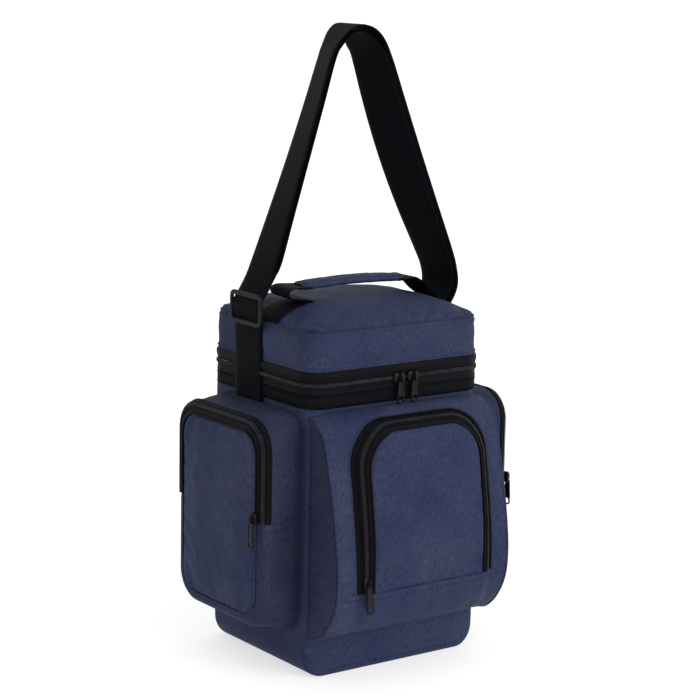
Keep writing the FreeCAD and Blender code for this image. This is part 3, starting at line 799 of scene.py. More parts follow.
def body_ring(height):
    """The body's outline at a height: sharper where pockets are sewn on, drawn in at its base."""
    soft = ease((height - SHARP_BELOW + 10) / 18)
    front = SEAM_ROUND + (CORNER - SEAM_ROUND) * soft
    rise = max(0.0, BASE_ROUND - height)
    tuck_x = BASE_ROUND - math.sqrt(BASE_ROUND**2 - rise**2)
    edge = max(0.0, FOOT_ROUND - height)
    tuck_y = FOOT_ROUND - math.sqrt(FOOT_ROUND**2 - edge**2)
    front, back = max(front - tuck_y, 3.0), max(14.0 - tuck_y, 4.0)
    outline = plan(BODY_X - tuck_x, BODY_Y - tuck_y, front, back)
    return np.column_stack([outline, np.full(len(outline), height)])


def make_body():
    """The insulated shell: stiff panels with a slight swell and a few soft dents."""
    low = BASE_ROUND * (1 - np.cos(np.radians(np.linspace(3, 90, 12))))
    heights = np.concatenate([low, np.linspace(BASE_ROUND, RIM - 4, 44)[1:]])
    grid = np.stack([body_ring(height) for height in heights])
    field = facing_out(grid, wrap_v=True)
    swell = 0.9 * np.sin(np.clip((grid[..., 2] - 10) / 260, 0, 1) * math.pi)
    dents = 0.55 * wander(grid, 95.0, 3) + 0.22 * wander(grid, 34.0, 4)
    calm = ease(grid[..., 2] / 30) * ease((RIM - grid[..., 2]) / 25)
    grid = grid + field * ((swell + dents) * calm)[..., None]
    shell = skin("body_shell", grid, NAVY, 1.6, wrap_v=True)
    carried(shell, "bag", "shell_fabric", "body_front_panel", "body_back_panel", "body_left_panel",
            "body_right_panel")
    half_y = BODY_Y - FOOT_ROUND - 0.5
    across, along = patch(BODY_X - BASE_ROUND + 4, -half_y, half_y, 6, 6, 8.0)
    # The base wears the shaded copy of the navy twill: painted shade.
    base = skin("body_base", np.stack([across, along, 0.05 + 0 * across], axis=-1), NAVY_SHADED, 1.4)
    carried(base, "bag", "shell_fabric", "body_base_panel")
    rows = []
    seam_y = -BODY_Y + SEAM_ROUND + 3
    for side in (-1, 1):
        corner = [(side * (BODY_X + 0.2), seam_y, z) for z in np.arange(30, SHARP_BELOW, 4.0)]
        rows.append((np.array(corner), (side, 0, 0)))
    foot = body_ring(6.5)
    front_foot = foot[(foot[:, 1] < -BODY_Y + 1.5) & (np.abs(foot[:, 0]) < BODY_X - 18)]
    rows.append((front_foot - (0, 0.3, 0), (0, -1, 0)))
    carried(stitches("body_stitches", rows), "bag", "shell_fabric")


make_body()

# ---------------------------------------------------------------- rim, main zip and hinge

ZIP_Z = 294.0


def profile_ring(name, profile, material, thick, make=zip_run):
    """A ring whose cross-section is (outset, height) pairs."""
    grid = np.stack([make(outset, height) for outset, height in profile], axis=1)
    grid = grid + 0.12 * wander(grid, 40.0, 7)[..., None] * (0, 0, 1)
    return skin(name, grid, material, thick, wrap_u=make is flat_ring, by_side=False)


def ring_row(outset, height):
    """A row of stitches round the bag, with the outward way at each point."""
    ring = flat_ring(outset, height)
    return ring, unit(ring * (1, 1, 0))


def make_rim():
    """Black ribbed binding below the zip, the zip's two tapes, their piping and the coil's teeth."""
    binding = [(0.3, 270.2), (1.5, 270.8), (2.0, 272.5), (2.1, 277.0), (2.0, 281.5), (1.5, 283.3),
               (0.5, 283.8)]
    band = profile_ring("rim_binding", binding, GROSGRAIN, 1.0, flat_ring)
    carried(band, "bag", "black_webbing", "rim_band")
    rows = [ring_row(2.25, 272.4), ring_row(2.25, 281.7)]
    carried(stitches("rim_stitches", rows, WEBBING, 2.9), "bag", "black_webbing")

    below = [(0.6, 283.6), (2.2, 284.0), (2.7, 285.0), (2.2, 286.0), (1.8, 287.2), (2.0, 289.5), (2.2, 291.6),
             (1.8, 292.2)]
    above = [(1.8, 295.8), (2.3, 296.4), (2.3, 298.3), (2.9, 300.0), (3.3, 302.0), (3.2, 304.6), (2.6, 306.4),
             (1.2, 307.4)]
    for part, body, edge in (("lower", "bag", below), ("upper", "lid", above)):
        tape = profile_ring(f"main_tape_{part}", edge, TAPE, 0.8)
        carried(tape, body, "zip_tape", f"main_zip_tape_{part}")
    for part, body, z, shift in (("lower", "bag", ZIP_Z - 0.75, 0.0), ("upper", "lid", ZIP_Z + 0.75, 0.5)):
        path = resample(zip_run(2.6, z), pitch=1.0)
        facing = unit(path * (1, 1, 0))
        row = teeth(f"main_coil_{part}", path, (0, 0, 1), facing, shift, (2.5, 1.15, 1.7))
        carried(row, body, "zip_chain", f"main_zip_chain_{part}")


def make_hinge():
    """The fabric strip along the back that joins the lid to the body."""
    low, high = span("hinge_strip")
    across = np.linspace(low[0], high[0], 60)
    up = np.linspace(low[2] - 4, high[2] + 2, 24)
    x, z = np.meshgrid(across, up, indexing="ij")
    grid = np.stack([x, np.full_like(x, high[1] + 0.4), z], axis=-1)
    grid[..., 1] += 0.7 * np.exp(-((z - ZIP_Z) / 4.0) ** 2) + 0.2 * wander(grid, 30.0, 9)
    strip = skin("hinge_cloth", rolled(grid, 2.0, 0.8), NAVY, 1.0)
    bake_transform(strip)
    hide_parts("hinge_strip")
    row = np.array([(x, high[1] + 0.9, low[2] - 1.0) for x in np.arange(low[0] + 4, high[0] - 3, 4.0)])
    carried(stitches("hinge_stitches", [(row, (0, 1, 0))]), "bag", "shell_fabric")


make_rim()
make_hinge()

# ---------------------------------------------------------------- lid

LID_SEAM = span("lid_top_panel")[0][2]
LID_TOP = span("lid_top_panel")[1][2]
LID_FOAM_THICK = 7.0


def lid_height(x, y):
    """The crowned top's height over a point of the plan, before it is swollen."""
    across, along = (np.clip(np.abs(part) / (half - 1.5), 0, 1) ** 3.0
                     for part, half in ((x, BODY_X), (y, BODY_Y)))
    return LID_SEAM + 0.6 + (LID_TOP - LID_SEAM - 3.0) * np.sqrt((1 - across) * (1 - along))


def make_lid():
    """A quilted wall with soft corners and a crowned, foam-filled top."""
    edge = [(-0.6, 296.6), (0.2, 297.4), (0.9, 302.0), (1.6, 307.6), (1.9, 309.6), (1.2, 311.4), (1.5, 316.0),
            (2.0, 322.0), (2.2, 328.0), (1.9, 334.0), (1.2, 339.5), (0.0, 343.4), (-1.4, LID_SEAM + 0.2)]
    grid = np.stack([flat_ring(outset, height) for outset, height in curve(edge, 30)], axis=1)
    field = facing_out(grid, wrap_u=True)
    calm = ease((grid[..., 2] - 309) / 10) * ease((LID_SEAM - grid[..., 2]) / 8)
    from_corner = (np.abs(grid[..., :2]) - (BODY_X, BODY_Y) + 8) / 16
    corner = np.exp(-from_corner[..., 0] ** 2 - from_corner[..., 1] ** 2)
    dents = 0.75 * wander(grid * (1, 1, 0.55), 70.0, 11) + 0.3 * wander(grid, 26.0, 12) - corner
    grid = grid + field * (dents * calm)[..., None]
    wall = skin("lid_wall", grid, NAVY, 1.4, wrap_u=True)
    carried(wall, "lid", "shell_fabric", "lid_side_band")
    rows = [ring_row(2.05, 309.8), ring_row(1.0, LID_SEAM - 4.0)]

    inset, corner = 1.2, 19
    x, y = patch(BODY_X - inset, -BODY_Y + inset, BODY_Y - inset, corner, corner, 5.0)
    grid = np.stack([x, y, lid_height(x, y)], axis=-1)
    grid[..., 2] += 0.25 * wander(grid, 60.0, 13)
    grid = padded_grid(grid, 5.0, 5.0, 0.012)
    grid[..., 2] = np.minimum(grid[..., 2], LID_TOP + 1.5)
    field = facing_out(grid)
    inner = ease((grid[..., 2] - LID_SEAM) / 8)
    grid = grid + field * (0.35 * inner * wander(grid, 38.0, 14))[..., None]
    top = skin("lid_cushion", rolled(grid, 2.6, 1.6), NAVY, 1.4)
    carried(top, "lid", "shell_fabric", "lid_top_panel")
    carried(stitches("lid_stitches", rows), "lid", "shell_fabric")
    rim = flat_ring(-0.8, LID_SEAM + 0.3)
    # The lid's piping wears the shaded copy of the navy twill: painted shade.
    piping = swept("lid_piping", resample(rim, pitch=3.0), disc(0.75), NAVY_SHADED, closed=True)
    carried(piping, "lid", "shell_fabric")

    under = np.stack([x * 0.985, y * 0.985, lid_height(x, y) - 4.0], axis=-1)
    board = skin("lid_board", under, FOAM, LID_FOAM_THICK)
    carried(board, "lid", "foam", "lid_foam")


make_lid()

# ---------------------------------------------------------------- front pocket

FRONT_MIDDLE = [(-88, 268), (-101, 266.5), (-112, 262), (-119, 252), (-123, 236), (-128, 206), (-133, 170),
                (-137, 134), (-139.5, 98)]
FRONT_EDGE = [(-88, 265), (-97, 260), (-107, 252), (-114, 240), (-122, 212), (-130, 178), (-136, 145),
              (-139, 118), (-138.5, 98)]
BASE_MIDDLE = [(-139.5, 98), (-139.5, 86), (-135, 70), (-125, 57), (-110, 49), (-88, 45.5)]
BASE_EDGE = [(-138.5, 98), (-136, 86), (-130, 72), (-119, 57), (-106, 47.5), (-88, 43.5)]
FACE_STEPS = 240

ARCH_HALF = 82.0  # the zip's outer edge
ARCH_ROUND = 44.0
WALL = 14.0  # how far across the zip's sloping wall reaches
PROUD = 10.0  # how far the flap stands out of the face


# side views as evenly spaced (y, z) pairs: the face from its lower seam up, the base from it down
FACE = np.stack([curve(line[::-1], FACE_STEPS) for line in (FRONT_MIDDLE, FRONT_EDGE)])
FACE_LENGTH = lengths(FACE[0])[-1]
BASE = np.stack([curve(line, FACE_STEPS) for line in (BASE_MIDDLE, BASE_EDGE)])


def on_profile(pair, x, share):
    """A point of a pocket surface: x across and a share of the way along its side views."""
    step = np.linspace(0, 1, FACE_STEPS)
    edge = (np.clip(np.abs(x) / BODY_X, 0, 1) ** 5)[..., None]
    share = np.clip(share, 0, 1)
    sides = [np.stack([np.interp(share, step, line[:, k]) for k in (0, 1)], axis=-1) for line in pair]
    return sides[0] * (1 - edge) + sides[1] * edge


def foot_share(up):
    """The flap stands out less toward its foot, as a share of its full amount."""
    return 0.72 + 0.28 * ease(up / 60)


def raised(x):
    """How far the flap side of the zip stands out at its foot, from 0 at the zip's outer edge."""
    return ease((ARCH_HALF - np.abs(x)) / WALL) * PROUD * foot_share(0.0)


def face_point(x, up, lift=0.0):
    """A point of the pocket's face: x across, up millimetres above its lower seam, lifted off it."""
    flat = on_profile(FACE, x, up / FACE_LENGTH)
    ahead = on_profile(FACE, x, (up + 1.5) / FACE_LENGTH)
    behind = on_profile(FACE, x, (up - 1.5) / FACE_LENGTH)
    slope = unit(ahead - behind)
    out = np.stack([-slope[..., 1], slope[..., 0]], axis=-1)
    out = np.where(out[..., :1] > 0, -out, out)
    moved = flat + out * np.asarray(lift)[..., None]
    return np.concatenate([np.asarray(x, float)[..., None], moved], axis=-1)


ARCH_TOP = float(np.interp(261.0, FACE[0][:, 1], lengths(FACE[0])))  # how far up the face the arch reaches


def arch_line(inset):
    """The zip's arch on the face as (x, up) pairs, set in from its outer edge."""
    half, top, turn = ARCH_HALF - inset, ARCH_TOP - inset, ARCH_ROUND - 0.55 * inset
    return np.vstack([
        run((-half, 0), (-half, top - turn), 40),
        bend((-half + turn, top - turn), turn, 180, -90, 24),
        run((-half + turn, top), (half - turn, top), 24),
        bend((half - turn, top - turn), turn, 90, -90, 24),
        run((half, top - turn), (half, 0), 40),
        [(half, 0)],
    ])


def arch_frame():
    """The face's outer boundary, point for point with the arch's line."""
    leg, side, straight = ARCH_TOP - ARCH_ROUND + 8, BODY_X - 0.6, ARCH_HALF - ARCH_ROUND
    left = np.vstack([run((-side, 0), (-side, leg), 40), run((-side, leg), (-side, FACE_LENGTH), 13),
                      run((-side, FACE_LENGTH), (-straight, FACE_LENGTH), 11)])
    top = run((-straight, FACE_LENGTH), (straight, FACE_LENGTH), 24)
    right = np.vstack([left, top[:1]])[::-1] * (-1, 1)
    return np.vstack([left, top, right])


def arch_grid(shares, extra=0.0):
    """Points across the zip's wall: 0 is its outer edge, on the face, and 1 its inner edge, on the flap."""
    rows = []
    for share in shares:
        line = arch_line(WALL * share)
        lift = PROUD * foot_share(line[:, 1]) * ease(0.06 + 0.94 * share)
        rows.append(face_point(line[:, 0], line[:, 1], lift + extra))
    return np.stack(rows, axis=1)


def make_face():
    """The pocket's face, from the zip's arch out to its seams, and the band below it."""
    inner, outer = arch_line(0.0), arch_frame()
    shares = np.linspace(0, 1, 14)[None, :, None]
    across_up = inner[:, None] * (1 - shares) + outer[:, None] * shares
    x, up = across_up[..., 0], across_up[..., 1]
    grid = face_point(x, up)
    field = facing_out(grid)
    free = np.sin(np.clip(shares[..., 0], 0, 1) * math.pi)
    dents = 1.1 * wander(grid, 60.0, 21) + 0.4 * wander(grid, 24.0, 22) + 0.8
    grid = refine(grid + field * (free * dents)[..., None])
    face = skin("front_pocket_skin", rolled(grid, 2.2, 0.9, (True, True, False, True)), NAVY, 1.2)
    carried(face, "bag", "shell_fabric", "front_pocket_face", "front_pocket_roof")

    half = BODY_X - 0.6
    x, share = np.meshgrid(np.linspace(-half, half, 90), np.linspace(0, 1, 34), indexing="ij")
    flat = on_profile(BASE, x, share)
    slope = unit(np.gradient(flat, axis=1))
    out = np.stack([slope[..., 1], -slope[..., 0]], axis=-1)
    lift = raised(x) * (1 - ease(share * 1.25)) + 0.7 * wander(
        np.concatenate([x[..., None], flat], axis=-1), 52.0, 23) * np.sin(share * math.pi)
    flat = flat + out * lift[..., None]
    grid = np.concatenate([x[..., None], flat], axis=-1)
    band = skin("front_pocket_band", rolled(grid, 2.2, 0.9), NAVY, 1.2)
    carried(band, "bag", "shell_fabric", "front_pocket_base")

    seam = grid[:, 2] + (0, -0.15, -1.0)
    top = face_point(np.linspace(-BODY_X + 5, BODY_X - 5, 60), np.full(60, FACE_LENGTH - 3.2), 0.2)
    line = arch_line(-2.6)
    arch = face_point(line[:, 0], line[:, 1], 0.5)[6:-6]
    rows = [(seam, (0, -1, 0.1)), (top, (0, -0.3, 1)), (arch, (0, -1, 0.25))]
    carried(stitches("front_stitches", rows), "bag", "shell_fabric")


def make_gussets():
    """The pocket's two side walls, each a leaf that runs out to a point at its top and its foot."""
    edge = resample(np.vstack([FACE[1][::-1], BASE[1][1:]]), 120)
    wall_z = np.clip(edge[:, 1], 44.0, 264.0)
    made = []
    for side in (-1, 1):
        share = np.linspace(0, 1, 16)[None, :]
        y = -BODY_Y + 0.4 + (edge[:, :1] + BODY_Y - 0.4) * share
        z = wall_z[:, None] * (1 - share) + edge[:, 1:] * share
        grid = np.stack([np.full_like(y, side * (BODY_X - 0.2)), y, z], axis=-1)
        depth = np.clip((-BODY_Y - edge[:, :1]) / 50, 0, 1)
        hollow = (0.9 * wander(grid, 48.0, 24 + side) - 1.6) * np.sin(share * math.pi) * depth
        grid[..., 0] += side * hollow
        name, out = f"front_gusset_{side + 1}", (side, 0, 0)
        leaf = rolled(grid, 2.0, 1.0, (False, False, True, True))
        # The gussets wear the shaded copy of the navy twill: painted shade.
        made.append(skin(name, leaf, NAVY_SHADED, 1.2))
        line = grid[4:-4, -1] + (side * -0.9, 0.5, 0)
        made.append(swept(f"{name}_piping", resample(line, pitch=3.0), disc(1.7), NAVY, up=out))
        inner = grid[8:-8, -1] + (0, 3.6, 0) + (side * 0.1, 0, 0)
        wall = grid[10:-8, 0] + (side * 0.2, -3.2, 0)
        made.append(stitches(f"{name}_rows", [(inner, out)]))
        made.append(stitches(f"{name}_wall_rows", [(wall, out)]))
    gussets = join("front_pocket_sides", made)
    carried(gussets, "bag", "shell_fabric", "front_pocket_gussets")


def ridge(name, line, radius, body, **ways):
    """A thin raised cord along a zip's tape."""
    bar = swept(name, resample(line, pitch=2.5), disc(radius), TAPE, **ways)
    carried(bar, body, "zip_tape")


def outward_facing(path, field, middle):
    """The way out of the bag at each point of a zip's path, from the way across the zip."""
    facing = unit(np.cross(unit(np.gradient(path, axis=0)), field))
    return facing * np.sign(np.sum(facing * (path - middle), axis=1))[:, None]


def make_front_zip():
    """The zip's tape in two halves, with piping along both edges and a row of teeth on each half."""
    halves = (("outer", "bag", (-0.04, 0.47), ["front_zip_tape"]), ("inner", "front_flap", (0.53, 1.06), []))
    for part, body, reach, nodes in halves:
        tape = skin(f"front_tape_{part}", arch_grid(np.linspace(*reach, 7)), TAPE, 0.9, by_side=False)
        carried(tape, body, "zip_tape", *nodes)
    edge = arch_grid([0.0, 0.5, 1.0], 0.7)
    field = unit(edge[:, 2] - edge[:, 0])
    ridge("front_piping_outer", edge[:, 0], 1.1, "bag")
    ridge("front_piping_inner", edge[:, 2], 0.9, "front_flap")
    for number, body in ((0, "bag"), (1, "front_flap")):
        ridge(f"front_ridge_{body}", arch_grid([0.27, 0.73], 0.5)[:, number], 0.5, body)
    facing = outward_facing(edge[:, 1], field, MIDDLE)
    sides = ((0.455, "bag", 0.0, ["front_zip_chain"]), (0.545, "front_flap", 0.5, []))
    for share, body, shift, nodes in sides:
        row = teeth(f"front_coil_{body}", arch_grid([share], 0.9)[:, 0], field, facing, shift)
        carried(row, body, "zip_chain", *nodes)


def make_front_flap():
    """The padded flap inside the zip's arch."""
    inset = WALL * 1.02
    half, top = ARCH_HALF - inset, ARCH_TOP - inset
    x, up = patch(half, 0.0, top, 0, ARCH_ROUND - 0.55 * inset, 4.6)
    crown = 2.6 * np.clip(1 - (np.abs(x) / half) ** 2.6, 0, 1) * ease(up / 40) * ease((top - up) / 30)
    grid = face_point(x, up, PROUD * foot_share(up) + crown)
    grid = padded_grid(grid, 3.5, 3.5, 0.010)
    field = facing_out(grid)
    row = np.arange(len(grid))
    calm = ease(np.minimum(row, row[::-1]) / 10)[:, None]
    dents = 0.5 * wander(grid * (1, 1, 0.6), 58.0, 31) + 0.25 * wander(grid, 22.0, 32)
    grid = grid + field * (calm * dents)[..., None]
    flap = skin("front_flap_pad", rolled(grid, 2.4, 1.1), NAVY, 1.6)
    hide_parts("front_flap")
    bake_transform(flap)


make_face()
make_gussets()
make_front_zip()
make_front_flap()

# ---------------------------------------------------------------- side pockets

SPLIT = span("left_flap")[0][2] + 3.0  # the zip's feet
POCKET_IN = BODY_X - 0.3
EDGE_OUT = 143.0  # where the gusset starts to turn into the outer face
FACE_OUT = 152.0
TURN_IN = 12.0  # how far the turn reaches in over the outer face
HOOP_WALL = (75.0, 46.0, 265.0, 22.0)
HOOP_EDGE = (78.0, 53.0, 261.0, 30.0)


def hoop(half, low, high, turn):
    """Round a side pocket as (y, z): from the front foot of the zip up, over, down the back and under."""
    return np.vstack([
        run((-half, SPLIT), (-half, high - turn), 22),
        bend((-half + turn, high - turn), turn, 180, -90, 16),
        run((-half + turn, high), (half - turn, high), 30),
        bend((half - turn, high - turn), turn, 90, -90, 16),
        run((half, high - turn), (half, SPLIT), 22),
        run((half, SPLIT), (half, low + turn), 22),
        bend((half - turn, low + turn), turn, 0, -90, 16),
        run((half - turn, low), (-half + turn, low), 30),
        bend((-half + turn, low + turn), turn, 270, -90, 16),
        run((-half, low + turn), (-half, SPLIT), 22),
        [(-half, SPLIT)],
    ])


UPPER = slice(0, 22 + 16 + 30 + 16 + 22 + 1)  # the hoop's runs and corners above the split
LOWER = slice(UPPER.stop - 1, None)


def hoop_at(share):
    """One of the gusset's outlines: 0 at the body, 1 where the turn begins."""
    return hoop(*(a * (1 - share) + b * share for a, b in zip(HOOP_WALL, HOOP_EDGE)))


def turn_at(share):
    """Outlines over the turn from the gusset (0) onto the outer face (1), with how far out each is."""
    angle = share * math.pi / 2
    inset = TURN_IN * (1 - math.cos(angle))
    half, low, high, round_off = HOOP_EDGE
    out = EDGE_OUT + (FACE_OUT - EDGE_OUT) * math.sin(angle)
    return hoop(half - inset, low + inset, high - inset, round_off - 0.6 * inset), out


def side_points(side, out, across_up):
    """Pocket outlines placed on one side of the bag."""
    out = np.broadcast_to(out, across_up.shape[:-1])
    return np.stack([side * out, across_up[..., 0], across_up[..., 1]], axis=-1)


def turn_grid(side, shares, part, lift=0.0):
    """The turn's points over a part of the outline, lifted off it."""
    rows = []
    for share in shares:
        outline, out = turn_at(share)
        rows.append(side_points(side, out, outline[part]))
    grid = np.stack(rows, axis=1)
    if lift:
        whole = turn_grid(side, (0.0, 0.5, 1.0), part)
        field = facing_out(whole, pocket_middle(side))
        grid = grid + field[:, 1:2] * lift
    return grid


def pocket_middle(side):
    """A point inside a side pocket, which its surfaces face away from."""
    return side * (BODY_X + 20), 0.0, 155.0


def make_pocket_walls(name, side):
    """A side pocket's gusset, its piping and its rows of stitches."""
    middle = pocket_middle(side)
    gusset_shares = np.linspace(0, 1, 15)
    outs = POCKET_IN + (EDGE_OUT - POCKET_IN) * gusset_shares
    wall = side_points(side, outs, np.stack([hoop_at(share) for share in gusset_shares], axis=1))
    field = facing_out(wall, middle)
    free = np.sin(gusset_shares * math.pi)[None]
    crease = 1.0 * wander(wall * (1, 0.8, 1), 62.0, 41 + side) + 0.45 * wander(wall, 23.0, 44 + side) - 0.4
    wall = wall + field * (free * crease)[..., None]
    whole = np.concatenate([wall[LOWER], turn_grid(side, np.linspace(0, 1, 9)[1:], LOWER)], axis=1)
    made = []
    for part, grid, ends in (("upper", wall[UPPER], False), ("lower", whole, True)):
        cloth = rolled(grid, 2.0, 1.0, (ends, ends, True, True), middle)
        # The gusset wears the shaded copy of the navy twill: painted shade.
        made.append(skin(f"{name}_gusset_{part}", cloth, NAVY_SHADED, 1.2, centre=middle))
    line = resample(turn_grid(side, [1.0], LOWER, 0.2)[:, 0], pitch=3.0)
    made.append(swept(f"{name}_piping", line, disc(0.9), NAVY, up=(side, 0, 0)))
    gusset = join(f"{name}_pocket_walls", made)
    carried(gusset, "bag", "shell_fabric", f"{name}_pocket_gusset")

    rows = []
    for share in (0.10, 0.20):
        points = side_points(side, POCKET_IN + (EDGE_OUT - POCKET_IN) * share, hoop_at(share))
        rows.append((points, unit((points - middle) * (0, 1, 1))))
    across = np.linspace(EDGE_OUT - 22, EDGE_OUT + 1, 8)
    for z in (SPLIT - 9.0, SPLIT - 18.0):
        for front in (-1, 1):
            points = np.stack([side * across, np.full(8, front * 77.9), np.full(8, z)], axis=1)
            rows.append((points, (0, front, 0)))
    carried(stitches(f"{name}_stitches", rows), "bag", "shell_fabric")


def make_pocket_zip(name, side):
    """A side pocket's zip over its rounded edge: half on the gusset and half on the opening flap."""
    middle, flap = pocket_middle(side), f"{name}_flap"
    halves = (("outer", "bag", (-0.06, 0.47), [f"{name}_zip_tape"]), ("inner", flap, (0.53, 1.03), []))
    for part, body, reach, nodes in halves:
        grid = turn_grid(side, np.linspace(*reach, 6), UPPER, 0.5)
        tape = skin(f"{name}_tape_{part}", grid, TAPE, 0.9, centre=middle, by_side=False)
        carried(tape, body, "zip_tape", *nodes)
    for share, body, radius in ((-0.05, "bag", 0.8), (1.0, flap, 1.0), (0.27, "bag", 0.5), (0.73, flap, 0.5)):
        line = turn_grid(side, [share], UPPER, 0.75)[:, 0]
        ridge(f"{name}_ridge_{int(round(share * 100)) % 100:02d}", line, radius, body, up=(side, 0, 0))
    edges = turn_grid(side, [0.1, 0.9], UPPER)
    field = unit(edges[:, 1] - edges[:, 0])
    for share, body, shift, nodes in ((0.445, "bag", 0.0, [f"{name}_zip_chain"]), (0.555, flap, 0.5, [])):
        path = turn_grid(side, [share], UPPER, 1.1)[:, 0]
        row = teeth(f"{name}_coil_{body}", path, field, outward_facing(path, field, middle), shift)
        carried(row, body, "zip_chain", *nodes)


def make_pocket_panel(name, side):
    """A side pocket's padded outer panel, which opens above the split."""
    middle = pocket_middle(side)
    half, low, high, round_off = HOOP_EDGE
    gap = TURN_IN + 0.6
    half_y, half_z, turn = half - gap, (high - low) / 2 - gap, round_off - 0.6 * gap
    y, z = patch(half_y, low + gap, high - gap, turn, turn, 5.0)
    dome = np.clip(1 - (np.abs(y) / half_y) ** 3, 0, 1)
    dome = dome * np.clip(1 - (np.abs(z - (low + high) / 2) / half_z) ** 4, 0, 1)
    grid = np.stack([side * (FACE_OUT + 0.2 + 1.6 * dome), y, z], axis=-1)
    grid = padded_grid(grid, 3.5, 4.5, 0.012)
    field = facing_out(grid, middle)
    rim_away = np.abs(np.abs(grid[..., 1]) - half_y)
    for edge in (low + gap, high - gap):
        rim_away = np.minimum(rim_away, np.abs(grid[..., 2] - edge))
    dents = 0.9 * wander(grid * (1, 1, 0.7), 75.0, 51 + side) + 0.4 * wander(grid, 27.0, 54 + side)
    grid = grid + field * (dents * ease(rim_away / 22))[..., None]
    grid = rolled(grid, 2.4, 1.2, centre=middle)
    panel = skin(f"{name}_pocket_panel_cloth", grid, NAVY, 1.6, centre=middle)
    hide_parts(f"{name}_pocket_panel", f"{name}_flap")
    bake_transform(panel)


for pocket in (("left", -1), ("right", 1)):
    make_pocket_walls(*pocket)
    make_pocket_zip(*pocket)
    make_pocket_panel(*pocket)

# ---------------------------------------------------------------- carry handle

HANDLE_Y = (span("handle_grip")[0][1] + span("handle_grip")[1][1]) / 2
GRIP_LEFT, GRIP_RIGHT = span("handle_grip")[0][0], span("handle_grip")[1][0]
GRIP_Z = (span("handle_grip")[0][2] + span("handle_grip")[1][2]) / 2


def ribbon(name, centre, ways, width, thick):
    """Woven webbing: a centre line and the way across it, with finely scalloped edges."""
    stacked = resample(np.hstack([centre, ways]), pitch=0.75)
    line, across = stacked[:, :3], unit(stacked[:, 3:])
    tangent = unit(np.gradient(line, axis=0))
    across = unit(across - tangent * np.sum(across * tangent, axis=1, keepdims=True))
    out = np.cross(tangent, across)
    along = lengths(line)
    wave = 0.25 * np.sin(along * TAU / 2.25)
    place = np.linspace(-1, 1, 11)
    half = (width / 2 + wave)[:, None] * place[None]
    edge = np.sqrt(np.clip(1 - np.abs(place) ** 14, 0, 1))[None, :, None]
    flat = line[:, None] + across[:, None] * half[..., None]
    rise = out[:, None] * (thick / 2) * edge
    section = np.concatenate([flat + rise, (flat - rise)[:, ::-1][:, 1:-1]], axis=1)
    spread = np.concatenate([place, place[::-1][1:-1]]) * width / 2
    spread = np.append(spread, spread[0])
    return tube(name, section, WEBBING, along * MM, spread * MM, inward=True)


def make_handle():
    """A padded navy sleeve on black webbing that folds under itself at each end."""
    x = np.linspace(GRIP_LEFT - 2, GRIP_RIGHT + 3, 50)
    share = (x - x[0]) / (x[-1] - x[0])
    z = GRIP_Z + 0.5 + 2.6 * np.sin(share * math.pi) ** 0.8
    line = np.stack([x, np.full_like(x, HANDLE_Y), z], axis=1)
    angle = np.arange(28) * TAU / 28
    side, top = np.cos(angle), np.sin(angle)
    section = np.stack([0 * angle, 12.6 * np.sign(side) * np.abs(side) ** 0.72,
                        4.1 * np.sign(top) * np.abs(top) ** 0.85], axis=1)
    grid = line[:, None] + section[None]
    field = normals(grid, False, True)
    field *= np.sign(np.sum(field * (grid - line[:, None])))
    fold = 0.42 * wander(grid * (1, 0.6, 0.6), 30.0, 61) + 0.2 * wander(grid, 11.0, 62)
    ends = 1 - 0.22 * (1 - ease(np.minimum(share, 1 - share) / 0.05))
    grid = line[:, None] + (grid - line[:, None] + field * fold[..., None]) * ends[:, None, None]
    sleeve = skin("handle_sleeve", grid, NAVY, 1.2, wrap_v=True, centre=line[25])
    carried(sleeve, "handle", "shell_fabric", "handle_grip")
    rows = [(line[3:-3] + (0, -9.5, -2.2), (0, -0.8, -0.6))]
    over = np.linspace(0.25, math.pi - 0.25, 24)
    for hem_x in (x[0] + 4, x[-1] - 4):
        hem = [hem_x + 0 * over, HANDLE_Y + 11.4 * np.cos(over), GRIP_Z + 1.0 + 4.3 * np.sin(over)]
        rows.append((np.stack(hem, axis=1), (0, 0, 1)))
    carried(stitches("handle_stitches", rows), "handle", "shell_fabric")

    left = [(6, 377.5), (-6, 378.3), (-16, 378.6), (-22, 376.0), (-22.5, 371.5), (-18, 368.6), (-8, 367.0),
            (3, 365.4), (6.2, 363.9), (3, 362.6), (-10, 361.6), (-24, 358.0), (-34, 352.0), (-38.8, 346.6)]
    right = [(-6, 377.5), (5, 378.6), (12, 378.0), (19, 373.0), (25, 367.0), (31, 361.5), (39, 355.5),
             (46.6, 346.8)]
    for name, points, end, most in (("left", left, GRIP_LEFT, 0.10), ("right", right, GRIP_RIGHT, -0.04)):
        smooth = curve([(end + along, z) for along, z in points], pitch=1.0)
        share = np.linspace(0, 1, len(smooth))
        centre = np.stack([smooth[:, 0], HANDLE_Y + 0 * share, smooth[:, 1]], axis=1)
        lean = most * np.sin(share * math.pi)
        ways = np.stack([lean, np.ones_like(share), 0 * share], axis=1)
        leg = ribbon(f"handle_{name}_leg", centre, ways, 39.0, 1.5)
        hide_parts(f"handle_webbing_{name}")
        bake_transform(leg)


make_handle()

# ---------------------------------------------------------------- shoulder strap

STRAP_Y = (span("strap_patch_left")[0][1] + span("strap_patch_left")[1][1]) / 2
STRAP_WIDTH = 45.0
APEX = span("strap_webbing")[1][2]
ARM_X = -109.0
RING = [(a + b) / 2 for a, b in zip(*span("strap_ring"))]


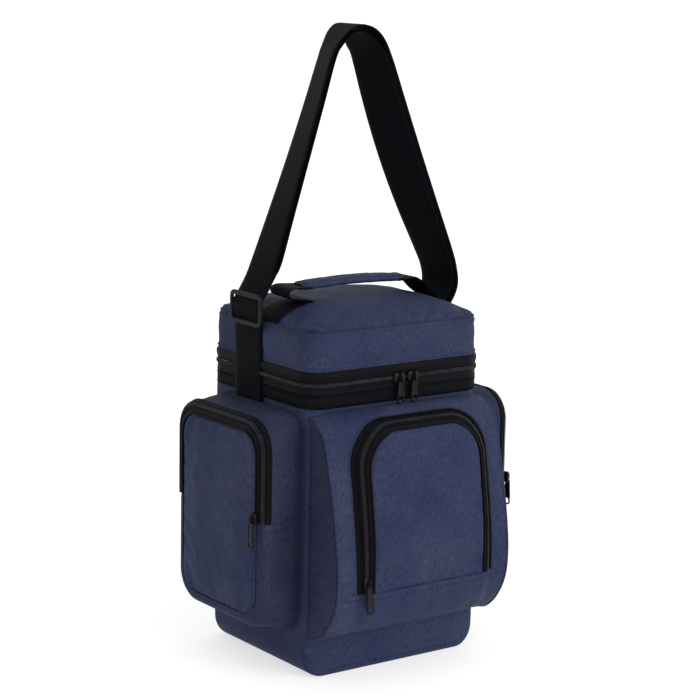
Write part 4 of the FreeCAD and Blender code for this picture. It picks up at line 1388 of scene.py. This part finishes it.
def strap_layer(name, points, node):
    """One layer of the shoulder strap from (x, z, degrees): the degrees turn its width about the vertical."""
    points = np.array(points, float)
    line, turns = points[:, :2], points[:, 2]
    smooth = curve(line, pitch=1.0)
    along = lengths(line)
    eased = curve(np.column_stack([along, turns]), 400)
    share = np.linspace(0, 1, len(smooth))
    turn = np.radians(np.interp(share * along[-1], eased[:, 0], eased[:, 1]))
    centre = np.stack([smooth[:, 0], STRAP_Y + 0.8 * np.sin(share * 9.0), smooth[:, 1]], axis=1)
    ways = np.stack([-np.sin(turn), np.cos(turn), 0 * turn], axis=1)
    layer = ribbon(name, centre, ways, STRAP_WIDTH, 1.5)
    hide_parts(node)
    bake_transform(layer)


def arm(foot, head, bow, turn_foot, turn_head, turn_bow):
    """One side of the strap's arch from foot to head as (x, z, degrees): nearly straight, bowed midway."""
    share = np.linspace(0, 1, 6)
    midway = np.sin(share * math.pi)
    x = foot[0] + (head[0] - foot[0]) * share + bow * midway
    z = foot[1] + (head[1] - foot[1]) * share
    turn = turn_foot + (turn_head - turn_foot) * share + turn_bow * midway
    return np.stack([x, z, turn], axis=1)


def make_strap():
    """The webbing from the bag's left side up over the top to the ring, and back down to the adjuster."""
    rise = arm((-91, 402), (-24, 598), 1.2, 0, -17, -2)
    fall = arm((122, 402), (37.5, 598), -3.5, 17, 20, 11)[::-1]
    outer = [(ARM_X + 1.2, 262, 3), (ARM_X + 0.4, 276, 3), (ARM_X, 300, 3), (ARM_X - 0.2, 330, 4),
             (ARM_X - 1.4, 345, 4), (ARM_X - 2.9, 356, 4), (ARM_X - 1.0, 364, 5), (ARM_X + 4.5, 372, 5),
             (ARM_X + 12.5, 386, 4), *rise, (-17, APEX - 23, -15), (-7, APEX - 10, -8), (5, APEX - 3.2, 0),
             (17, APEX - 6, 8), (28, APEX - 17, 14), *fall, (130, 382, 13), (133.5, 364, 9), (128, 347, 4),
             (RING[0] + 3.6, 335, 0), (RING[0] + 2.9, 329, 0), (RING[0] + 1.8, 327, 0), (RING[0], 326.6, 0),
             (RING[0] - 1.8, 327, 0), (RING[0] - 2.9, 329, 0)]
    gap = 5.5  # the inner layer hangs this far inside the outer one
    inner = [(RING[0] - 2.9, 329.6, 0), (RING[0] + 1.0, 341, 2), (126, 361, 8), (125.5, 380, 12),
             *[(x - gap, z, turn) for x, z, turn in fall[::-1]], (23, 611, 15), (14, 622, 7), (5, 626, 0),
             (-4, 622, -8), (-12.5, 611, -14), *[(x + gap, z, turn) for x, z, turn in rise[::-1]],
             (ARM_X + 14.5, 388, 3), (ARM_X + 9, 380, 4)]
    strap_layer("strap_outer", outer, "strap_webbing")
    strap_layer("strap_inner", inner, "strap_return_webbing")
    for name, side in (("left", -1), ("right", 1)):
        low, high = span(f"strap_patch_{name}")
        out = side * (BODY_X + 3.0)
        line = np.array([(out, STRAP_Y, z) for z in np.linspace(low[2] - 3, high[2] + 0.2, 20)])
        piece = ribbon(f"strap_anchor_{name}", line, np.tile((0, 1.0, 0), (20, 1)), STRAP_WIDTH, 1.4)
        carried(piece, "bag", "black_webbing", f"strap_patch_{name}")
    rows = []
    for side in (-1, 1):
        ends = [(side * (BODY_X + 3.9), STRAP_Y + along, 266.5) for along in (-19, 19)]
        rows.append((np.array(ends), (side, 0, 0)))
    carried(stitches("strap_anchor_stitches", rows, WEBBING), "bag", "black_webbing")

    points = [(-4.0, 270.0), (-4.2, 290.0), (-3.9, 309.0), (-2.9, 314.6), (0, 316.6), (2.9, 314.6),
              (3.9, 309.0), (3.2, 294.0), (2.6, 286.0)]
    smooth = curve([(RING[0] + along, z) for along, z in points], pitch=1.0)
    centre = np.stack([smooth[:, 0], np.full(len(smooth), STRAP_Y), smooth[:, 1]], axis=1)
    loop = ribbon("ring_loop", centre, np.tile((0, 1.0, 0), (len(centre), 1)), STRAP_WIDTH, 1.5)
    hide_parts("strap_ring_loop")
    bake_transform(loop)


def oblong(half_a, half_b, turn, count):
    """A rounded rectangle as (a, b) pairs, count points to a corner."""
    pieces = []
    for a, b, start in ((1, 1, 0), (-1, 1, 90), (-1, -1, 180), (1, -1, 270)):
        angle = np.radians(np.linspace(start, start + 90, count))
        pieces.append(np.stack([a * (half_a - turn) + turn * np.cos(angle),
                                b * (half_b - turn) + turn * np.sin(angle)], axis=1))
    return np.vstack(pieces)


def bar_loop(name, middle, half_y, half_z, turn, section):
    """A closed rounded-rectangle bar in the YZ plane."""
    ring = oblong(half_y, half_z, turn, 9)
    ring = resample(np.vstack([ring, ring[:1]]), pitch=1.6)[:-1]
    path = np.column_stack([np.zeros(len(ring)), ring]) + middle
    return swept(name, path, section, PLASTIC, closed=True, up=(1.0, 0.0, 0.0))


def pillow_section(half_side, half_up, power=0.55, count=20):
    """A soft rectangle as a closed section."""
    angle = np.arange(count) * TAU / count
    return np.stack([half * np.sign(part) * np.abs(part) ** power
                     for half, part in ((half_side, np.cos(angle)), (half_up, np.sin(angle)))], axis=1)


def make_hardware():
    """The strap's oblong ring and the three-bar adjuster."""
    ring = bar_loop("oblong_ring", RING, STRAP_WIDTH / 2 + 3.0, 8.0, 3.4, pillow_section(2.0, 1.9, 0.8))
    carried(ring, "strap", "black_plastic", "strap_ring")
    low, high = span("triglide")
    middle = ((low[0] + high[0]) / 2 - 0.9, STRAP_Y, (low[2] + high[2]) / 2)
    frame_bar = bar_loop("glide_frame", middle, STRAP_WIDTH / 2 + 3.1, 14.0, 4.2, pillow_section(2.3, 1.5))
    across = np.linspace(low[1] + 2.5, high[1] - 2.5, 40)
    under = np.clip((STRAP_WIDTH / 2 + 2.5 - np.abs(across - STRAP_Y)) / 2.0, 0, 1)
    bar_x = middle[0] + (ARM_X - 0.9 - middle[0]) * ease(under)
    line = np.stack([bar_x, across, 0 * across + middle[2]], axis=1)
    centre_bar = swept("glide_bar", line, pillow_section(2.4, 0.7), PLASTIC, up=(1, 0, 0))
    glide = join("triglide_adjuster", [frame_bar, centre_bar])
    carried(glide, "triglide", "black_plastic", "triglide")


make_strap()
make_hardware()

# ---------------------------------------------------------------- sliders and pulls


class Local:
    """A slider's own axes: across, up and out of the bag, from the pull's pin."""

    def __init__(self, origin, across, out):
        self.origin = np.asarray(origin, float)
        self.across = unit(np.asarray(across, float))
        self.out = unit(np.asarray(out, float))
        self.up = np.cross(self.out, self.across)

    def at(self, points):
        """Points given as (across, up, out) in the bag's frame."""
        points = np.asarray(points, float)
        flat = self.origin + points[..., :1] * self.across + points[..., 1:2] * self.up
        return flat + points[..., 2:] * self.out


def outline_at(local, pairs, out, scale=1.0):
    """An (across, up) outline at a distance out."""
    pairs = np.asarray(pairs) * scale
    return local.at(np.column_stack([pairs, np.full(len(pairs), out)]))


PIN_OUT = 4.1
FACE_RISE = 152.0  # over which the front pocket's face leans back
SLIDER_HALF = (4.9, 6.9)


def make_slider(prefix, local, along_up):
    """A die-cast slider: a waisted base, a domed crown and the bridge that holds the pull."""
    half_a, half_b = SLIDER_HALF if along_up else SLIDER_HALF[::-1]
    base = oblong(half_a, half_b, 2.6, 6)
    waist = base * ((1 - 0.16 * (np.abs(base[:, 1:]) > half_b * 0.55)) if along_up else 1.0)
    levels = [(-PIN_OUT, 0.90), (-PIN_OUT + 0.5, 1.0), (-PIN_OUT + 1.6, 1.0), (-PIN_OUT + 2.2, 0.93),
              (-PIN_OUT + 2.5, 0.78)]
    plate = np.stack([outline_at(local, waist, out, scale) for out, scale in levels])
    plate = tube(f"{prefix}_plate", plate, ENAMEL)
    angle = np.linspace(-1, 1, 15) * math.pi / 2
    bridge = np.stack([0 * angle, 4.6 * np.sin(angle), -PIN_OUT + 1.9 + 3.6 * np.cos(angle) ** 0.8], axis=1)
    section = pillow_section(1.25, 0.75, 0.7, 12)
    crown = swept(f"{prefix}_crown", local.at(bridge), section, ENAMEL, up=local.across)
    pin_line = local.at([(across, 0, 0) for across in (-2.6, -1.3, 0, 1.3, 2.6)])
    pin = swept(f"{prefix}_pin", pin_line, disc(0.75, count=12), ENAMEL, up=local.out)
    slider = join(f"{prefix}_slider_body", [plate, crown, pin])
    carried(slider, f"{prefix}_slider", "slider_enamel", f"{prefix}_slider")


def make_pull(prefix, local):
    """A pull with a narrow neck, a long tapered blade with raised rims, and a round eye at its end."""
    low, high = span(f"{prefix}_pull")
    eye_up = -(high[2] - low[2]) + 5.2
    blade_low = eye_up + 3.2
    half_top, half_low, thick = 2.9, 4.5, 0.95
    blade = np.array([(-half_top, -3.2), (half_top, -3.2), (half_low, blade_low), (-half_low, blade_low)])
    blade = resample(np.vstack([blade, blade[:1]]), 48)[:-1]
    centre_up = (blade_low - 3.2) / 2

    def shrunk(amount):
        ups = centre_up + (blade[:, 1] - centre_up) * (1 - amount / 9.0)
        return np.column_stack([blade[:, 0] * (1 - amount / 3.2), ups])

    levels = [(-thick * 0.30, 1.5), (-thick * 0.30, 1.2), (-thick, 0.9), (-thick, 0.25), (-thick * 0.6, 0.0),
              (thick * 0.6, 0.0), (thick, 0.25), (thick, 0.9), (thick * 0.30, 1.2), (thick * 0.30, 1.5)]
    paddle = np.stack([outline_at(local, shrunk(amount), out) for out, amount in levels])
    paddle = tube(f"{prefix}_blade", paddle, ENAMEL)
    circle = np.arange(28) * TAU / 28
    ring = np.stack([3.7 * np.cos(circle), eye_up + 3.7 * np.sin(circle), 0 * circle], axis=1)
    section = pillow_section(0.85, 0.95, 0.8, 10)
    eye = swept(f"{prefix}_eye", local.at(ring), section, ENAMEL, closed=True, up=local.out)
    circle = circle[::2]
    hook = np.stack([0 * circle, 1.5 * np.cos(circle), 1.5 * np.sin(circle)], axis=1)
    hook = swept(f"{prefix}_hook", local.at(hook), disc(0.62), ENAMEL, closed=True, up=local.across)
    neck = swept(f"{prefix}_neck", local.at([(0, -1.3, 0), (0, -2.4, 0), (0, -3.9, 0)]),
                 pillow_section(1.5, 0.7, 0.8, 12), ENAMEL, up=local.out)
    pull = join(f"{prefix}_pull_tab", [paddle, eye, hook, neck])
    carried(pull, f"{prefix}_pull", "slider_enamel", f"{prefix}_pull")


def make_sliders():
    """Two sliders on the lid's zip and one on each pocket's zip."""
    joints = {joint["name"]: joint for joint in frame["joints"]}
    for prefix in ("main_left", "main_right", "front", "left", "right"):
        joint = joints[f"{prefix}_pull_hinge"]
        origin = np.array(joint["pos_m"]) / MM
        if prefix in ("left", "right"):
            out = np.array((-1.0 if prefix == "left" else 1.0, 0.0, 0.0))
        else:
            lean = abs(FRONT_MIDDLE[-1][0] - FRONT_MIDDLE[3][0]) if prefix == "front" else 0.0
            tilt = math.atan2(lean, FACE_RISE)
            out = np.array((0.0, -math.cos(tilt), math.sin(tilt)))
        local = Local(origin, np.cross((0.0, 0.0, 1.0), out), out)
        make_slider(prefix, local, not prefix.startswith("main"))
        make_pull(prefix, local)


make_sliders()


# ---------------------------------------------------------------- the inside


def dress(material, *names):
    """Puts a material on CAD nodes that are carried over as they are."""
    for name in names:
        obj = frame["nodes"][name]
        obj.data.materials.clear()
        obj.data.materials.append(material)


dress(FOAM, "foam_base", "foam_front", "foam_back", "foam_left", "foam_right")
dress(FILM, "liner_tub", "lid_liner")
